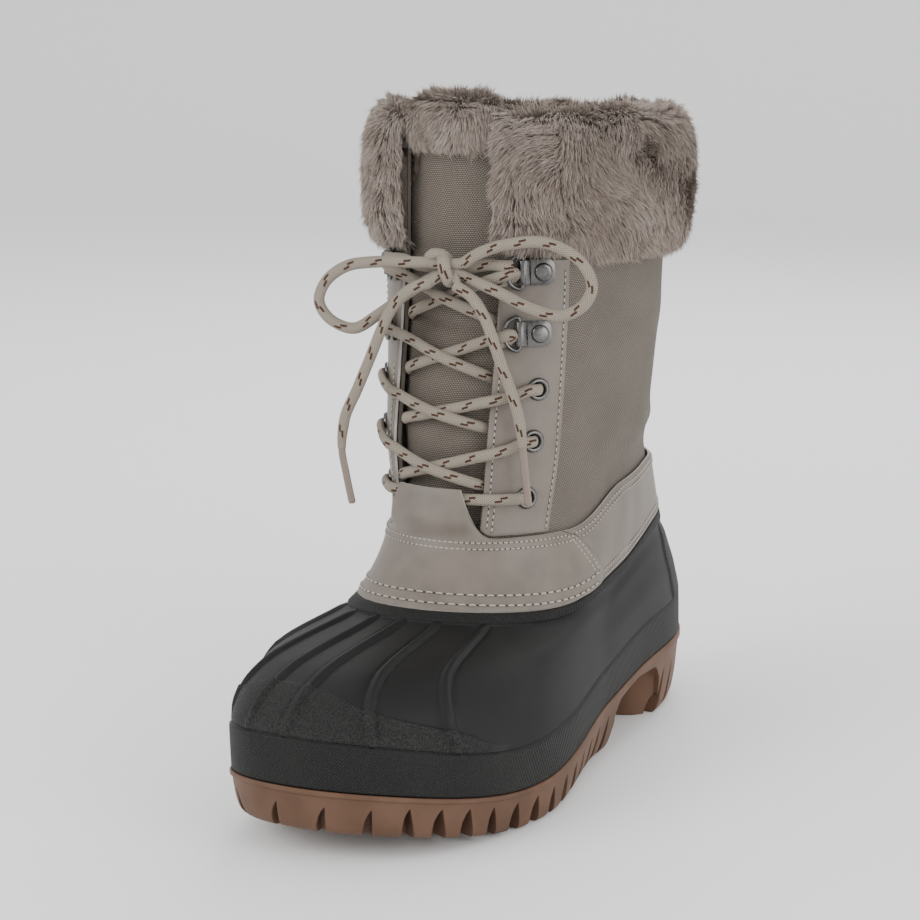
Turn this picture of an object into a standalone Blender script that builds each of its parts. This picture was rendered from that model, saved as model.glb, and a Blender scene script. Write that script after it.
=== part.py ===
"""Lace-up winter boot with a moulded rubber shell, left foot.

Metres in the scene, +Z up, toe towards -Y, outer side of the foot towards +X.
The design sizes below are in millimetres. Every form of the upper comes from
one surface, S(level, turn, offset): a level is a closed loop round the last,
turn 0 is its front, turn pi its back, and 0..pi runs along the outer side.
"""
import bpy
import bmesh
import math
import numpy as np

MM = 0.001

# ---------------------------------------------------------------- sizes (mm)
GAP = 0.3                 # between pieces that touch
SHELL_WALL = 2.8          # moulded rubber
SHAFT_WALL = 2.4          # nylon with its lining
LEATHER = 1.6
UNDER_LEATHER = 1.15      # the bands bridge the cloth's flats
EYESTAY_CLEAR = 0.65      # the eyestays bridge the cloth's flats
INFLARE = 9.0             # how far the toe swings to the inner side
TOE_SPRING = 12.0
FOXING_STEP = 1.5         # how proud the foxing stands of the shell
RIM_STEP = 1.2            # how proud the shell's rim stands
RIDGE = 1.4               # height of the four ridges over the vamp

# Levels of the last, from the welt up. Each row is one loop.
GUM, FOX, CAP, VAMP, RIM, BAND, BANDTOP, ANKLE, COLLAR, TOP = (
    0.0, 1.0, 1.6, 2.3, 3.0, 3.25, 4.2, 5.6, 8.2, 10.4)
COLUMNS = ("level", "toe_y", "heel_y",
           "toe_z", "ball_z", "waist_z", "seat_z", "heel_z",
           "axis_x", "ball_out", "ball_in", "waist_out", "waist_in", "seat_out", "seat_in",
           "toe_round", "heel_round")
LEVELS = (
    (GUM, -141, 148, 30, 16, 24, 30, 31, 0, 60, 48, 45, 38, 38, 40, 0.34, 0.26),
    (FOX, -141, 147, 48, 32, 40, 47, 48, 0, 60, 49, 46, 39, 38, 40, 0.34, 0.26),
    (CAP, -133, 144, 57, 45, 49, 57, 59, -1, 57, 49, 45, 40, 38, 40, 0.34, 0.27),
    (VAMP, -112, 140, 65, 58, 59, 68, 71, -3, 52, 49, 43, 40, 37, 39, 0.36, 0.28),
    (RIM, -58, 135, 73, 67, 71, 81, 84, -6, 47, 47, 42, 42, 38, 39, 0.40, 0.32),
    (BAND, -51, 133, 76, 71, 76, 86, 89, -6, 46, 46, 42, 42, 38, 39, 0.41, 0.33),
    (BANDTOP, -28, 128, 99, 98, 110, 113, 113, -8, 43, 43, 42, 42, 38, 38, 0.46, 0.38),
    (ANKLE, -20, 121, 138, 138, 138, 138, 138, -9, 46, 46, 48, 48, 42, 42, 0.50, 0.42),
    (COLLAR, -10, 114, 208, 208, 208, 208, 208, -9, 52, 52, 55, 55, 50, 50, 0.52, 0.45),
    (TOP, -9, 115, 267, 267, 267, 267, 267, -9, 53, 53, 56, 56, 51, 51, 0.52, 0.45),
)


def pchip(xs, ys, x, flat=False):
    """Shape-preserving cubic through (xs, ys[..., k]), read at x."""
    xs = np.asarray(xs, float)
    ys = np.asarray(ys, float)
    h = np.diff(xs)
    d = np.diff(ys, axis=-1) / h
    near, far = d[..., :-1], d[..., 1:]
    w1, w2 = 2 * h[1:] + h[:-1], h[1:] + 2 * h[:-1]
    with np.errstate(divide="ignore", invalid="ignore"):
        middle = (w1 + w2) / (w1 / near + w2 / far)
    middle = np.where(near * far > 0, middle, 0.0)
    ends = 0.0 if flat else 1.0
    m = np.concatenate([d[..., :1] * ends, middle, d[..., -1:] * ends], axis=-1)
    x = np.asarray(x, float)
    k = np.clip(np.searchsorted(xs, x, side="right") - 1, 0, len(h) - 1)
    s = (x - xs[k]) / h[k]

    def pick(values, index):
        return np.take_along_axis(values, index[..., None], axis=-1)[..., 0]

    ys = np.broadcast_to(ys, x.shape + ys.shape[-1:])
    m = np.broadcast_to(m, x.shape + m.shape[-1:])
    return ((2 * s**3 - 3 * s**2 + 1) * pick(ys, k) + (s**3 - 2 * s**2 + s) * h[k] * pick(m, k)
            + (-2 * s**3 + 3 * s**2) * pick(ys, k + 1) + (s**3 - s**2) * h[k] * pick(m, k + 1))


TABLE = np.array(LEVELS, float)


def columns_at(level):
    level = np.asarray(level, float)
    return {name: pchip(TABLE[:, 0], TABLE[:, i], level)
            for i, name in enumerate(COLUMNS) if i}


def rounding(q, toe, heel, power=2.25):
    front = (1 - np.clip(1 - q / toe, 0, 1) ** power) ** (1 / power)
    back = (1 - np.clip((q - 1 + heel) / heel, 0, 1) ** power) ** (1 / power)
    return front * back


def swing(y):
    """Sideways shift of the last's axis: the toe turns in."""
    return -INFLARE * np.clip((10 - y) / 150, 0, 1) ** 1.5


def surface(level, turn):
    level, turn = np.broadcast_arrays(np.asarray(level, float), np.asarray(turn, float))
    c = columns_at(level)
    q = (1 - np.cos(turn)) / 2
    width_at = (0.0, 0.30, 0.58, 0.82, 1.0)
    out = pchip(width_at, np.stack([c["ball_out"], c["ball_out"], c["waist_out"], c["seat_out"], c["seat_out"]], -1), q, True)
    inn = pchip(width_at, np.stack([c["ball_in"], c["ball_in"], c["waist_in"], c["seat_in"], c["seat_in"]], -1), q, True)
    shape = rounding(q, c["toe_round"], c["heel_round"])
    x = np.where(np.sin(turn) >= 0, out, -inn) * shape
    y = c["toe_y"] + q * (c["heel_y"] - c["toe_y"])
    z = pchip((0.0, 0.28, 0.55, 0.80, 1.0),
              np.stack([c["toe_z"], c["ball_z"], c["waist_z"], c["seat_z"], c["heel_z"]], -1), q)
    return np.stack([x + c["axis_x"] + swing(y), y, z], -1)


def normal(level, turn):
    level, turn = np.broadcast_arrays(np.asarray(level, float), np.asarray(turn, float))
    along = surface(level, turn + 0.02) - surface(level, turn - 0.02)
    top = np.clip(level + 0.05, TABLE[0, 0], TABLE[-1, 0])
    low = np.clip(level - 0.05, TABLE[0, 0], TABLE[-1, 0])
    n = np.cross(along, surface(top, turn) - surface(low, turn))
    return n / np.linalg.norm(n, axis=-1, keepdims=True)


def S(level, turn, offset=0.0):
    """A point of the upper, offset outwards along the surface's normal."""
    offset = np.asarray(offset, float)
    return surface(level, turn) + normal(level, turn) * offset[..., None]


def turn_at(level, arc):
    """The turn at this distance along a loop from its front; the inner side is negative."""
    level, arc = np.broadcast_arrays(np.asarray(level, float), np.asarray(arc, float))
    found = np.zeros(level.shape)
    t = np.linspace(0, math.pi, 241)
    for at in np.ndindex(level.shape):
        sign = 1.0 if arc[at] >= 0 else -1.0
        loop = surface(level[at], sign * t)
        run = np.concatenate([[0], np.cumsum(np.linalg.norm(np.diff(loop, axis=0), axis=1))])
        found[at] = sign * np.interp(abs(arc[at]), run, t)
    return found

# ---------------------------------------------------------------- end of the surface

# Where the piece's own box has its bottom centre.
CENTRE_X, CENTRE_Y = -8.5, 3.0

# Sole: from the welt down to the tread. share_z and share_xy say how far each
# row of its side wall is from the welt's loop towards the tread's outline.
SOLE_LIP = 0.6
TREAD = dict(zip(COLUMNS, (-1.0, -134, 139, 12, 0, 0, 0, 0,
                           0, 57, 45, 37, 30, 34, 36, 0.34, 0.26)))
SIDE_WALL = (  # share_z, share_xy, outward
    (0.00, 0.00, SOLE_LIP), (0.10, 0.00, SOLE_LIP), (0.13, 0.04, 0.0),
    (0.55, 0.30, 0.4), (0.86, 0.66, 0.6), (1.00, 1.00, 0.0))
LUG_PITCH, LUG_GAP, LUG_DEPTH = 12.0, 5.8, 8.0
LUG_RISE = 0.62           # of the wall's height
ARCH_FRONT, ARCH_BACK = 50.0, 79.0
SHANK = 4.0               # thickness left over the arch

# Ridges over the vamp: the turn where each meets the foxing and the rim.
RIDGES = ((-0.87, -0.62), (-0.52, -0.33), (-0.145, -0.095),
          (0.065, 0.075), (0.445, 0.305), (0.79, 0.60))
RIDGE_HALF = 1.7
CAP_RAISE, COUNTER_RAISE = 0.7, 0.8
COUNTER_TURN = 2.40       # where the heel counter's panel begins

# Throat and lacing. arc is measured round the shaft from its front.
THROAT_MID, THROAT_HALF = -2.0, 22.0
EYESTAY_TOP_WIDTH, EYESTAY_LOW_WIDTH = 28.0, 32.0
EYELET_ARC, RING_ARC, RIVET_ARC = 40.5, 29.0, 38.8
EYELET_LEVELS = (4.75, 5.55, 6.30)
RING_LEVELS = (7.12, 8.03)
EYELET_HOLE, EYELET_BRIM = 2.5, 4.6
LACE_WIDE, LACE_THICK = 4.6, 3.2
TAB_TOP, TAB_HALF, TAB_FOOT = 4.88, 13.5, 29.0
TONGUE_HALF, TONGUE_TOP_HALF = 37.0, 20.5
SHAFT_TOP = 9.75


# ---------------------------------------------------------------- bodies
def material(name, colour, roughness, metallic=0.0):
    made = bpy.data.materials.new(name)
    made.use_nodes = True
    made.diffuse_color = (*colour, 1.0)
    shader = made.node_tree.nodes["Principled BSDF"]
    shader.inputs["Base Color"].default_value = (*colour, 1.0)
    shader.inputs["Roughness"].default_value = roughness
    shader.inputs["Metallic"].default_value = metallic
    return made


GUM_RUBBER = ((0.16, 0.075, 0.045), 0.65)
BLACK_RUBBER = ((0.014, 0.014, 0.014), 0.55)
NYLON = ((0.14, 0.115, 0.095), 0.9)
HIDE = ((0.26, 0.21, 0.175), 0.6)
FUR = ((0.25, 0.20, 0.17), 0.95)
FELT = ((0.20, 0.17, 0.15), 0.95)
NICKEL = ((0.42, 0.42, 0.43), 0.3, 1.0)
CORD = ((0.36, 0.29, 0.22), 0.85)


def join(bodies):
    """Several (points, faces) as one list of each, every body turned to face out."""
    points, faces, first = [], [], 0
    for body_points, body_faces in bodies:
        body_points = np.asarray(body_points, float)
        centre = body_points.mean(axis=0)
        volume = 0.0
        for face in body_faces:
            a = body_points[face[0]] - centre
            for k in range(1, len(face) - 1):
                b, c = body_points[face[k]] - centre, body_points[face[k + 1]] - centre
                volume += np.dot(a, np.cross(b, c))
        turned = body_faces if volume > 0 else [face[::-1] for face in body_faces]
        points.append(body_points)
        faces += [tuple(first + i for i in face) for face in turned]
        first += len(body_points)
    return np.concatenate(points), faces


def body(name, parts, look):
    points, faces = join(parts)
    mesh = bpy.data.meshes.new(name)
    moved = (points - np.array([CENTRE_X, CENTRE_Y, 0.0])) * MM
    mesh.from_pydata([tuple(p) for p in moved], [], faces)
    obj = bpy.data.objects.new(name, mesh)
    bpy.context.scene.collection.objects.link(obj)
    obj.data.materials.append(material(name + "_colour", *look))
    return obj


def helper(name, parts):
    cutter = body(name, parts, FELT)
    cutter.hide_render = True
    cutter.display_type = "WIRE"
    return cutter


def boolean(obj, operation, other):
    step = obj.modifiers.new(operation.lower(), "BOOLEAN")
    step.object = other
    step.operation = operation
    step.solver = "EXACT"
    return step


def wall(outer, inner, closed=True):
    """The solid between two grids of points, rows from low to high."""
    outer, inner = np.asarray(outer, float), np.asarray(inner, float)
    rows, cols = outer.shape[:2]
    size = rows * cols
    at = lambda i, j: i * cols + j % cols
    faces = []
    for j in range(cols if closed else cols - 1):
        for i in range(rows - 1):
            faces.append((at(i, j), at(i, j + 1), at(i + 1, j + 1), at(i + 1, j)))
            faces.append(tuple(size + k for k in (at(i, j), at(i + 1, j), at(i + 1, j + 1), at(i, j + 1))))
        low, top = at(0, j), at(rows - 1, j)
        low2, top2 = at(0, j + 1), at(rows - 1, j + 1)
        faces.append((low, size + low, size + low2, low2))
        faces.append((top, top2, size + top2, size + top))
    if not closed:
        for i in range(rows - 1):
            a, b = at(i, 0), at(i + 1, 0)
            faces.append((a, b, size + b, size + a))
            a, b = at(i, cols - 1), at(i + 1, cols - 1)
            faces.append((a, size + a, size + b, b))
    return np.concatenate([outer.reshape(-1, 3), inner.reshape(-1, 3)]), faces


def stack(rows):
    """A solid through closed loops from low to high, its two ends filled across by rungs."""
    rows = np.asarray(rows, float)
    count, cols = rows.shape[:2]
    at = lambda i, j: i * cols + j % cols
    faces = []
    for i in range(count - 1):
        for j in range(cols):
            faces.append((at(i, j), at(i, j + 1), at(i + 1, j + 1), at(i + 1, j)))
    for i, order in ((0, -1), (count - 1, 1)):
        for j in range(cols // 2):
            rung = [at(i, j), at(i, j + 1), at(i, -j - 1), at(i, -j)]
            rung = list(dict.fromkeys(rung))
            faces.append(tuple(rung[::order]))
    return rows.reshape(-1, 3), faces


def tube(path, side, wide, thick, sides=6):
    """A flat-sided cord along a path; side is its wide direction at each point."""
    path, side = np.asarray(path, float), np.asarray(side, float)
    along = np.gradient(path, axis=0)
    along /= np.linalg.norm(along, axis=1, keepdims=True)
    side = side - (side * along).sum(1, keepdims=True) * along
    side /= np.linalg.norm(side, axis=1, keepdims=True)
    up = np.cross(along, side)
    turn = (np.arange(sides) + 0.5) * 2 * math.pi / sides
    rings = (path[:, None] + side[:, None] * (np.cos(turn) * wide / 2)[None, :, None]
             + up[:, None] * (np.sin(turn) * thick / 2)[None, :, None])
    at = lambda i, j: i * sides + j % sides
    faces = [(at(i, j), at(i, j + 1), at(i + 1, j + 1), at(i + 1, j))
             for i in range(len(path) - 1) for j in range(sides)]
    faces.append(tuple(at(0, j) for j in range(sides))[::-1])
    faces.append(tuple(at(len(path) - 1, j) for j in range(sides)))
    return rings.reshape(-1, 3), faces


def smooth(t):
    t = np.clip(t, 0.0, 1.0)
    return t * t * (3 - 2 * t)


def through(points, count):
    """A smooth path through a few points, with even steps."""
    points = np.asarray(points, float)
    run = np.concatenate([[0], np.cumsum(np.linalg.norm(np.diff(points, axis=0), axis=1))])
    fine = np.linspace(0, run[-1], 12 * count)
    path = np.stack([pchip(run, points[:, k], fine) for k in range(points.shape[1])], -1)
    done = np.concatenate([[0], np.cumsum(np.linalg.norm(np.diff(path, axis=0), axis=1))])
    even = np.linspace(0, done[-1], count)
    return np.stack([np.interp(even, done, path[:, k]) for k in range(points.shape[1])], -1)


def loop_points(row, turn):
    """One loop of the last from one row of its table."""
    turn = np.asarray(turn, float)
    q = (1 - np.cos(turn)) / 2
    at = (0.0, 0.30, 0.58, 0.82, 1.0)
    full = lambda *names: np.broadcast_to(np.array([row[n] for n in names], float), turn.shape + (5,))
    out = pchip(at, full("ball_out", "ball_out", "waist_out", "seat_out", "seat_out"), q, True)
    inn = pchip(at, full("ball_in", "ball_in", "waist_in", "seat_in", "seat_in"), q, True)
    shape = rounding(q, row["toe_round"], row["heel_round"])
    y = row["toe_y"] + q * (row["heel_y"] - row["toe_y"])
    z = pchip((0.0, 0.28, 0.55, 0.80, 1.0), full("toe_z", "ball_z", "waist_z", "seat_z", "heel_z"), q)
    return np.stack([np.where(np.sin(turn) >= 0, out, -inn) * shape + row["axis_x"] + swing(y), y, z], -1)


def level_out(loop, outward):
    """A closed loop moved outwards in plan, its heights kept."""
    along = np.roll(loop, -1, axis=0) - np.roll(loop, 1, axis=0)
    side = np.stack([along[:, 1], -along[:, 0]], -1)
    side /= np.linalg.norm(side, axis=1, keepdims=True)
    moved = loop.copy()
    moved[:, :2] += side * np.asarray(outward, float).reshape(-1, 1)
    return moved


def even_turns(loop_of, count):
    """Turns spaced evenly along a loop, the same on both sides of it."""
    t = np.linspace(0, math.pi, 601)
    run = np.concatenate([[0], np.cumsum(np.linalg.norm(np.diff(loop_of(t), axis=0), axis=1))])
    half = np.interp(np.linspace(0, run[-1], count // 2 + 1), run, t)
    return np.concatenate([half, -half[-2:0:-1]])


for old in list(bpy.data.objects):
    bpy.data.objects.remove(old)


# ---------------------------------------------------------------- outsole
sole_turns = even_turns(lambda t: surface(GUM, t), 50)
welt = surface(GUM, sole_turns)
tread = loop_points(TREAD, sole_turns)


def sole_row(share_z, share_xy, outward):
    row = welt + (tread - welt) * np.array([share_xy, share_xy, share_z])
    return level_out(row, outward)


outsole = body("outsole", [stack([sole_row(*row) for row in SIDE_WALL[::-1]])], GUM_RUBBER)


def sole_side(arc, share):
    """Place and outward direction on the sole's side; arc runs from the toe, inner side negative."""
    sign = 1.0 if arc >= 0 else -1.0
    t = np.linspace(0, math.pi, 401)
    low = loop_points(TREAD, sign * t)
    run = np.concatenate([[0], np.cumsum(np.linalg.norm(np.diff(low[:, :2], axis=0), axis=1))])
    turn = sign * float(np.interp(abs(arc), run, t))
    place = lambda u: (surface(GUM, np.array([u])) * (1 - share)
                       + loop_points(TREAD, np.array([u])) * share)[0]
    ahead, behind = place(turn + sign * 0.01), place(turn - sign * 0.01)
    along = (ahead - behind) * np.array([1.0, 1.0, 0.0])
    along /= np.linalg.norm(along)
    return place(turn), along, sign * np.array([along[1], -along[0], 0.0])


def lug_notch(arc, gap, rise=LUG_RISE, depth=LUG_DEPTH):
    """A tapered slot up the sole's side: upright behind, slanted in front."""
    low, along, out = sole_side(arc, 1.0)
    top, _, out_top = sole_side(arc, 1.0 - rise)
    low = low - np.array([0.0, 0.0, 3.0])
    corners = []
    for place, direction, front, into in ((low, out, gap / 2, depth), (top, out_top, -gap / 2 + 1.4, depth * 0.55)):
        for u, v in ((-front, -into), (gap / 2, -into), (gap / 2, 22.0), (-front, 22.0)):
            corners.append(place + along * u + direction * v)
    faces = [(0, 1, 2, 3), (4, 5, 6, 7), (0, 1, 5, 4), (1, 2, 6, 5), (2, 3, 7, 6), (3, 0, 4, 7)]
    faces = [(3, 2, 1, 0)] + faces[1:]
    return corners, faces


def block(x0, x1, y0, y1, z0, z1, lean=0.0):
    corners = [(x, y + lean * (x - x0) / (x1 - x0), z) for z in (z0, z1)
               for x, y in ((x0, y0), (x1, y0), (x1, y1), (x0, y1))]
    return corners, [(3, 2, 1, 0), (4, 5, 6, 7), (0, 1, 5, 4), (1, 2, 6, 5), (2, 3, 7, 6), (3, 0, 4, 7)]


notches = [lug_notch(0.0, 3.2, 0.55, 4.5)]
for side in (1, -1):
    notches += [lug_notch(side * arc, 3.6, 0.55, 4.5) for arc in (17, 33)]
    forefoot_end = 208 if side > 0 else 196
    arc, k = 48.0, 0
    while arc < forefoot_end:
        notches.append(lug_notch(side * arc, LUG_GAP if k % 3 else LUG_GAP - 1.2))
        arc, k = arc + LUG_PITCH, k + 1
    notches += [lug_notch(side * arc, 4.2, 0.6) for arc in (258, 270, 282, 294, 306)]
sole_lugs = helper("cut_lugs", notches)
boolean(outsole, "DIFFERENCE", sole_lugs)


def arch_profile(x):
    """The arch's outline at one width: the blocks' corners are rounded in plan."""
    beyond = np.clip(abs(x + 3) - 16, 0, 19)
    flare = 20 - math.sqrt(max(20**2 - beyond**2, 0.0))
    front, back = ARCH_FRONT - flare, ARCH_BACK + flare * 0.8
    roof = 24.5
    return [(x, front, -4), (x, front, 15), (x, front + 7, roof - SHANK + 1), (x, (front + back) / 2, roof - SHANK + 4),
            (x, back - 7, roof - SHANK + 3), (x, back, 17), (x, back, -4)]


arch_rows = [arch_profile(x) for x in (-60, -38, -31, -25, -17, -3, 11, 19, 25, 32, 60)]
n = len(arch_rows[0])
arch_faces = [(i * n + j, i * n + (j + 1) % n, (i + 1) * n + (j + 1) % n, (i + 1) * n + j)
              for i in range(len(arch_rows) - 1) for j in range(n)]
arch_faces += [tuple(range(n))[::-1], tuple((len(arch_rows) - 1) * n + j for j in range(n))]
sole_arch = helper("cut_arch", [(np.concatenate(arch_rows), arch_faces)])
boolean(outsole, "DIFFERENCE", sole_arch)

grooves = [block(-34, 24, y, y + 4.5, -4, 3.0, 3.0) for y in (-78, -56, -10, 12)]
grooves += [block(-24, 17, y, y + 4.0, -4, 3.0, 0.0) for y in (98, 116)]
boolean(outsole, "DIFFERENCE", helper("cut_tread", grooves))


# ---------------------------------------------------------------- rubber shell
def shell_columns():
    """(turn at the foxing, turn at the rim, on a ridge's crest, behind the counter's edge)."""
    found = []
    for k, (low, top) in enumerate(RIDGES):
        for step in (-1, 0, 1):
            found.append((low + step * 0.018, top + step * 0.026, step == 0, False))
        if k + 1 < len(RIDGES):
            next_low, next_top = RIDGES[k + 1]
            found.append(((low + next_low) / 2, (top + next_top) / 2, False, False))
    for sign in (1, -1):
        edge_low, edge_top = (0.79, 0.60) if sign > 0 else (0.87, 0.62)
        for turn in (0.95, 1.14, 1.34, 1.56, 1.79, 2.00, 2.20, COUNTER_TURN - 0.03,
                     COUNTER_TURN + 0.02, 2.56, 2.71, 2.87, 3.01):
            top = turn - (edge_low - edge_top) * max(0.0, 1 - (turn - edge_low) / 0.8)
            found.append((sign * turn, sign * top, False, turn > COUNTER_TURN))
    found.append((math.pi, math.pi, False, True))
    return sorted(found, key=lambda c: c[0])


def cap_edge(turn):
    return pchip((0.0, 0.10, 0.33, 0.56, 0.86, 1.06, 4.0), np.broadcast_to(
        np.array((2.04, 2.02, 1.86, 1.60, 1.38, 1.14, 1.14)), np.shape(turn) + (7,)), np.abs(np.asarray(turn) + 0.04))


columns = shell_columns()
low_turn, top_turn = np.array([c[0] for c in columns]), np.array([c[1] for c in columns])
crest = np.array([c[2] for c in columns], float)
counter = np.array([c[3] for c in columns], float)
edge = cap_edge(low_turn)
in_cap = smooth((1.06 - np.abs(low_turn + 0.04)) / 0.1)
step_size = FOXING_STEP * (1 - 0.5 * smooth((np.abs(low_turn) - 1.0) / 0.8))


def column_turn(level):
    share = np.clip((level - 1.15) / (3.0 - 1.15), 0, 1)
    return low_turn + (top_turn - low_turn) * share


SHELL_ROWS = (  # level, outward of the bare shell, counts for cap, ridge, counter
    (FOX + 0.05, None, 1, 0.3, 1), ("toe", None, 1, 0.6, 1), ("cap-", None, 1, 1, 1), ("cap+", None, 0, 1, 1),
    ("mid", None, 0, 1, 1), (2.45, 0.0, 0, 1, 1), (RIM, -RIM_STEP + 0.2, 0, 1, 0.5),
    (RIM + 0.04, 0.0, 0, 0, 0), (BAND - 0.03, 0.0, 0, 0, 0))
outer, inner = [], []
for height, outward in ((GUM, 0.0), (FOX, 0.0)):
    level = np.full(len(columns), height)
    turn = column_turn(height)
    lift = np.array([0.0, 0.0, GAP]) if height == GUM else 0.0
    outer.append(S(level, turn, np.full(len(columns), outward)) + lift)
    inner.append(S(level, turn, np.full(len(columns), outward - SHELL_WALL)) + lift)
for name, outward, cap, ridge, panel in SHELL_ROWS:
    level = {"toe": FOX + 0.05 + (edge - FOX - 0.05) * 0.45, "cap-": edge, "cap+": edge + 0.035, "mid": (edge + VAMP) / 2 + 0.02}.get(name, name)
    level = np.broadcast_to(level, (len(columns),)).astype(float)
    turn = column_turn(level)
    if outward is None:
        outward = -step_size * smooth((VAMP - level) / (VAMP - FOX - 0.05))
    base = np.broadcast_to(outward, level.shape)
    raised = base + CAP_RAISE * cap * in_cap + RIDGE * ridge * crest * (1 - cap * in_cap) + COUNTER_RAISE * panel * counter
    outer.append(S(level, turn, raised))
    inner.append(S(level, turn, (base if level.min() < VAMP else 0 * base) - SHELL_WALL))
rubber_shell = body("rubber_shell", [wall(outer, inner)], BLACK_RUBBER)


# ---------------------------------------------------------------- insole
insole_turns = even_turns(lambda t: surface(GUM, t), 36)
under = level_out(surface(GUM, insole_turns), -SHELL_WALL - 1.6) + np.array([0.0, 0.0, 0.5])
insole = body("insole", [stack([under, under + np.array([0.0, 0.0, 4.0])])], FELT)


# ---------------------------------------------------------------- shaft
def shaft_outward(level):
    """The cloth dips under the leather, and further under the rubber rim."""
    level = np.asarray(level, float)
    under_leather = -(LEATHER + UNDER_LEATHER) * (1 - smooth((level - 4.36) / 1.2))
    return under_leather - 1.3 * (1 - smooth((level - BAND) / 0.12))


shaft_turns = even_turns(lambda t: surface(BANDTOP, t), 36)
shaft_levels = np.array([2.72, 3.0, BAND, 3.42, 3.85, 4.36, 4.95, 5.6, 6.9, COLLAR, SHAFT_TOP])
grid_level, grid_turn = np.meshgrid(shaft_levels, shaft_turns, indexing="ij")
outside = shaft_outward(grid_level)
shaft = body("shaft", [wall(S(grid_level, grid_turn, outside), S(grid_level, grid_turn, outside - SHAFT_WALL))], NYLON)


def band_top(arc):
    """Level of the leather band's top edge: it rises into the lace tab at the front."""
    away = np.abs(np.asarray(arc, float) - THROAT_MID)
    return BANDTOP + (TAB_TOP - BANDTOP) * np.clip((TAB_FOOT - away) / (TAB_FOOT - TAB_HALF), 0, 1) ** 2.2


arcs = THROAT_MID + np.linspace(-THROAT_HALF, THROAT_HALF, 7)
cut_levels = np.array([4.30, 4.6, 5.0, 5.6, 6.5, 7.6, 8.8, 9.8, 10.3])
grid_level, grid_arc = np.meshgrid(cut_levels, arcs, indexing="ij")
grid_turn = turn_at(grid_level, grid_arc)
throat = helper("cut_throat", [wall(S(grid_level, grid_turn, 9.0 + 0 * grid_level), S(grid_level, grid_turn, -14.0 + 0 * grid_level), closed=False)])
boolean(shaft, "DIFFERENCE", throat)


# ---------------------------------------------------------------- leather band, heel band, eyestays
def band_end(level):
    """Turn where the vamp's band ends: it runs back as it goes down, its top corner rounded."""
    return pchip((3.0, 3.40, 3.85, 4.10, 4.22, 5.0),
                 np.broadcast_to(np.array((1.50, 1.44, 1.27, 1.14, 1.02, 1.02)), np.shape(level) + (6,)), level)


half = [0, 6, 11, 13.6, 15.5, 19, 24, 29, 33.5, 38, 42.5, 47]
half_turn = turn_at(np.full(len(half), BANDTOP), np.array(half, float) + THROAT_MID) / 1.02
right = list(half_turn) + [0.90, 0.95, 1.0]
left = list(turn_at(np.full(len(half) - 1, BANDTOP), THROAT_MID - np.array(half[1:], float)) / 1.02)[::-1]
share = np.array([-1.0, -0.95, -0.90] + left + right)
outer, inner = [], []
arc_top = share * 1.02 * 54.5
top_level = band_top(arc_top)
lifted = smooth((TAB_HALF + 9.0 - np.abs(arc_top - THROAT_MID)) / 6.0)
for rise in (0.0, 0.08, 0.50, 0.72, 0.90, 1.0):
    level = BAND + 0.03 + rise * (top_level - BAND - 0.03)
    turn = share * band_end(level)
    raise_tab = 3.4 * lifted * smooth((level - 4.12) / 0.34)
    skin = -0.25 if rise in (0.0, 1.0) else 0.35
    outer.append(S(level, turn, skin + raise_tab))
    inner.append(S(level, turn, -LEATHER + raise_tab))
vamp_band = body("vamp_band", [wall(outer, inner, closed=False)], HIDE)

outer, inner = [], []
round_share = np.concatenate([[0.0, 0.02], np.linspace(0.06, 0.94, 23), [0.98, 1.0]])
for rise in (0.0, 0.08, 0.50, 0.90, 1.0):
    level = np.full(round_share.shape, BAND + 0.03 + rise * (BANDTOP - BAND - 0.03))
    start = band_end(level) + 0.018
    turn = start + round_share * (2 * math.pi - 2 * start)
    skin = -0.7 if rise in (0.0, 1.0) else -0.25
    outer.append(S(level, turn, np.full(level.shape, skin)))
    inner.append(S(level, turn, np.full(level.shape, -LEATHER)))
heel_band = body("heel_band", [wall(outer, inner, closed=False)], HIDE)


def eyestay_edges(level):
    wide = EYESTAY_LOW_WIDTH + (EYESTAY_TOP_WIDTH - EYESTAY_LOW_WIDTH) * smooth((level - 4.4) / 3.8)
    return THROAT_HALF + 0.8, THROAT_HALF + wide


def eyestay(name, side):
    outer, inner = [], []
    away = np.array([0.0, 0.06, 0.35, 0.65, 0.94, 1.0])
    for rise in (0.0, 0.03, 0.16, 0.30, 0.45, 0.60, 0.75, 0.88, 1.0):
        near, far = eyestay_edges(np.array(4.2 + rise * 4.0))
        arc = THROAT_MID + side * (near + away * (far - near))
        foot = band_top(arc) + 0.035
        level = foot + rise * (8.19 - foot)
        turn = turn_at(level, arc)
        lay = shaft_outward(level)
        skin = np.where((away == 0) | (away == 1), 0.45, 0.0) + (0.3 if rise == 0 else 0.0)
        outer.append(S(level, turn, lay + EYESTAY_CLEAR + LEATHER - skin))
        inner.append(S(level, turn, lay + EYESTAY_CLEAR))
    made = body(name, [wall(outer, inner, closed=False)], HIDE)
    return made


def round_cutter(level, arc, radius, low, high, sides=10):
    turn = turn_at(np.array(level), np.array(arc))
    place, out = surface(np.array(level), turn), normal(np.array(level), turn)
    up = np.array([0.0, 0.0, 1.0]) - out * out[2]
    up /= np.linalg.norm(up)
    side = np.cross(up, out)
    ring = [place + radius * (math.cos(a) * side + math.sin(a) * up)
            for a in (np.arange(sides) + 0.5) * 2 * math.pi / sides]
    points = [p + out * low for p in ring] + [p + out * high for p in ring]
    faces = [tuple(range(sides))[::-1], tuple(range(sides, 2 * sides))]
    faces += [(j, (j + 1) % sides, sides + (j + 1) % sides, sides + j) for j in range(sides)]
    return points, faces


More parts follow.
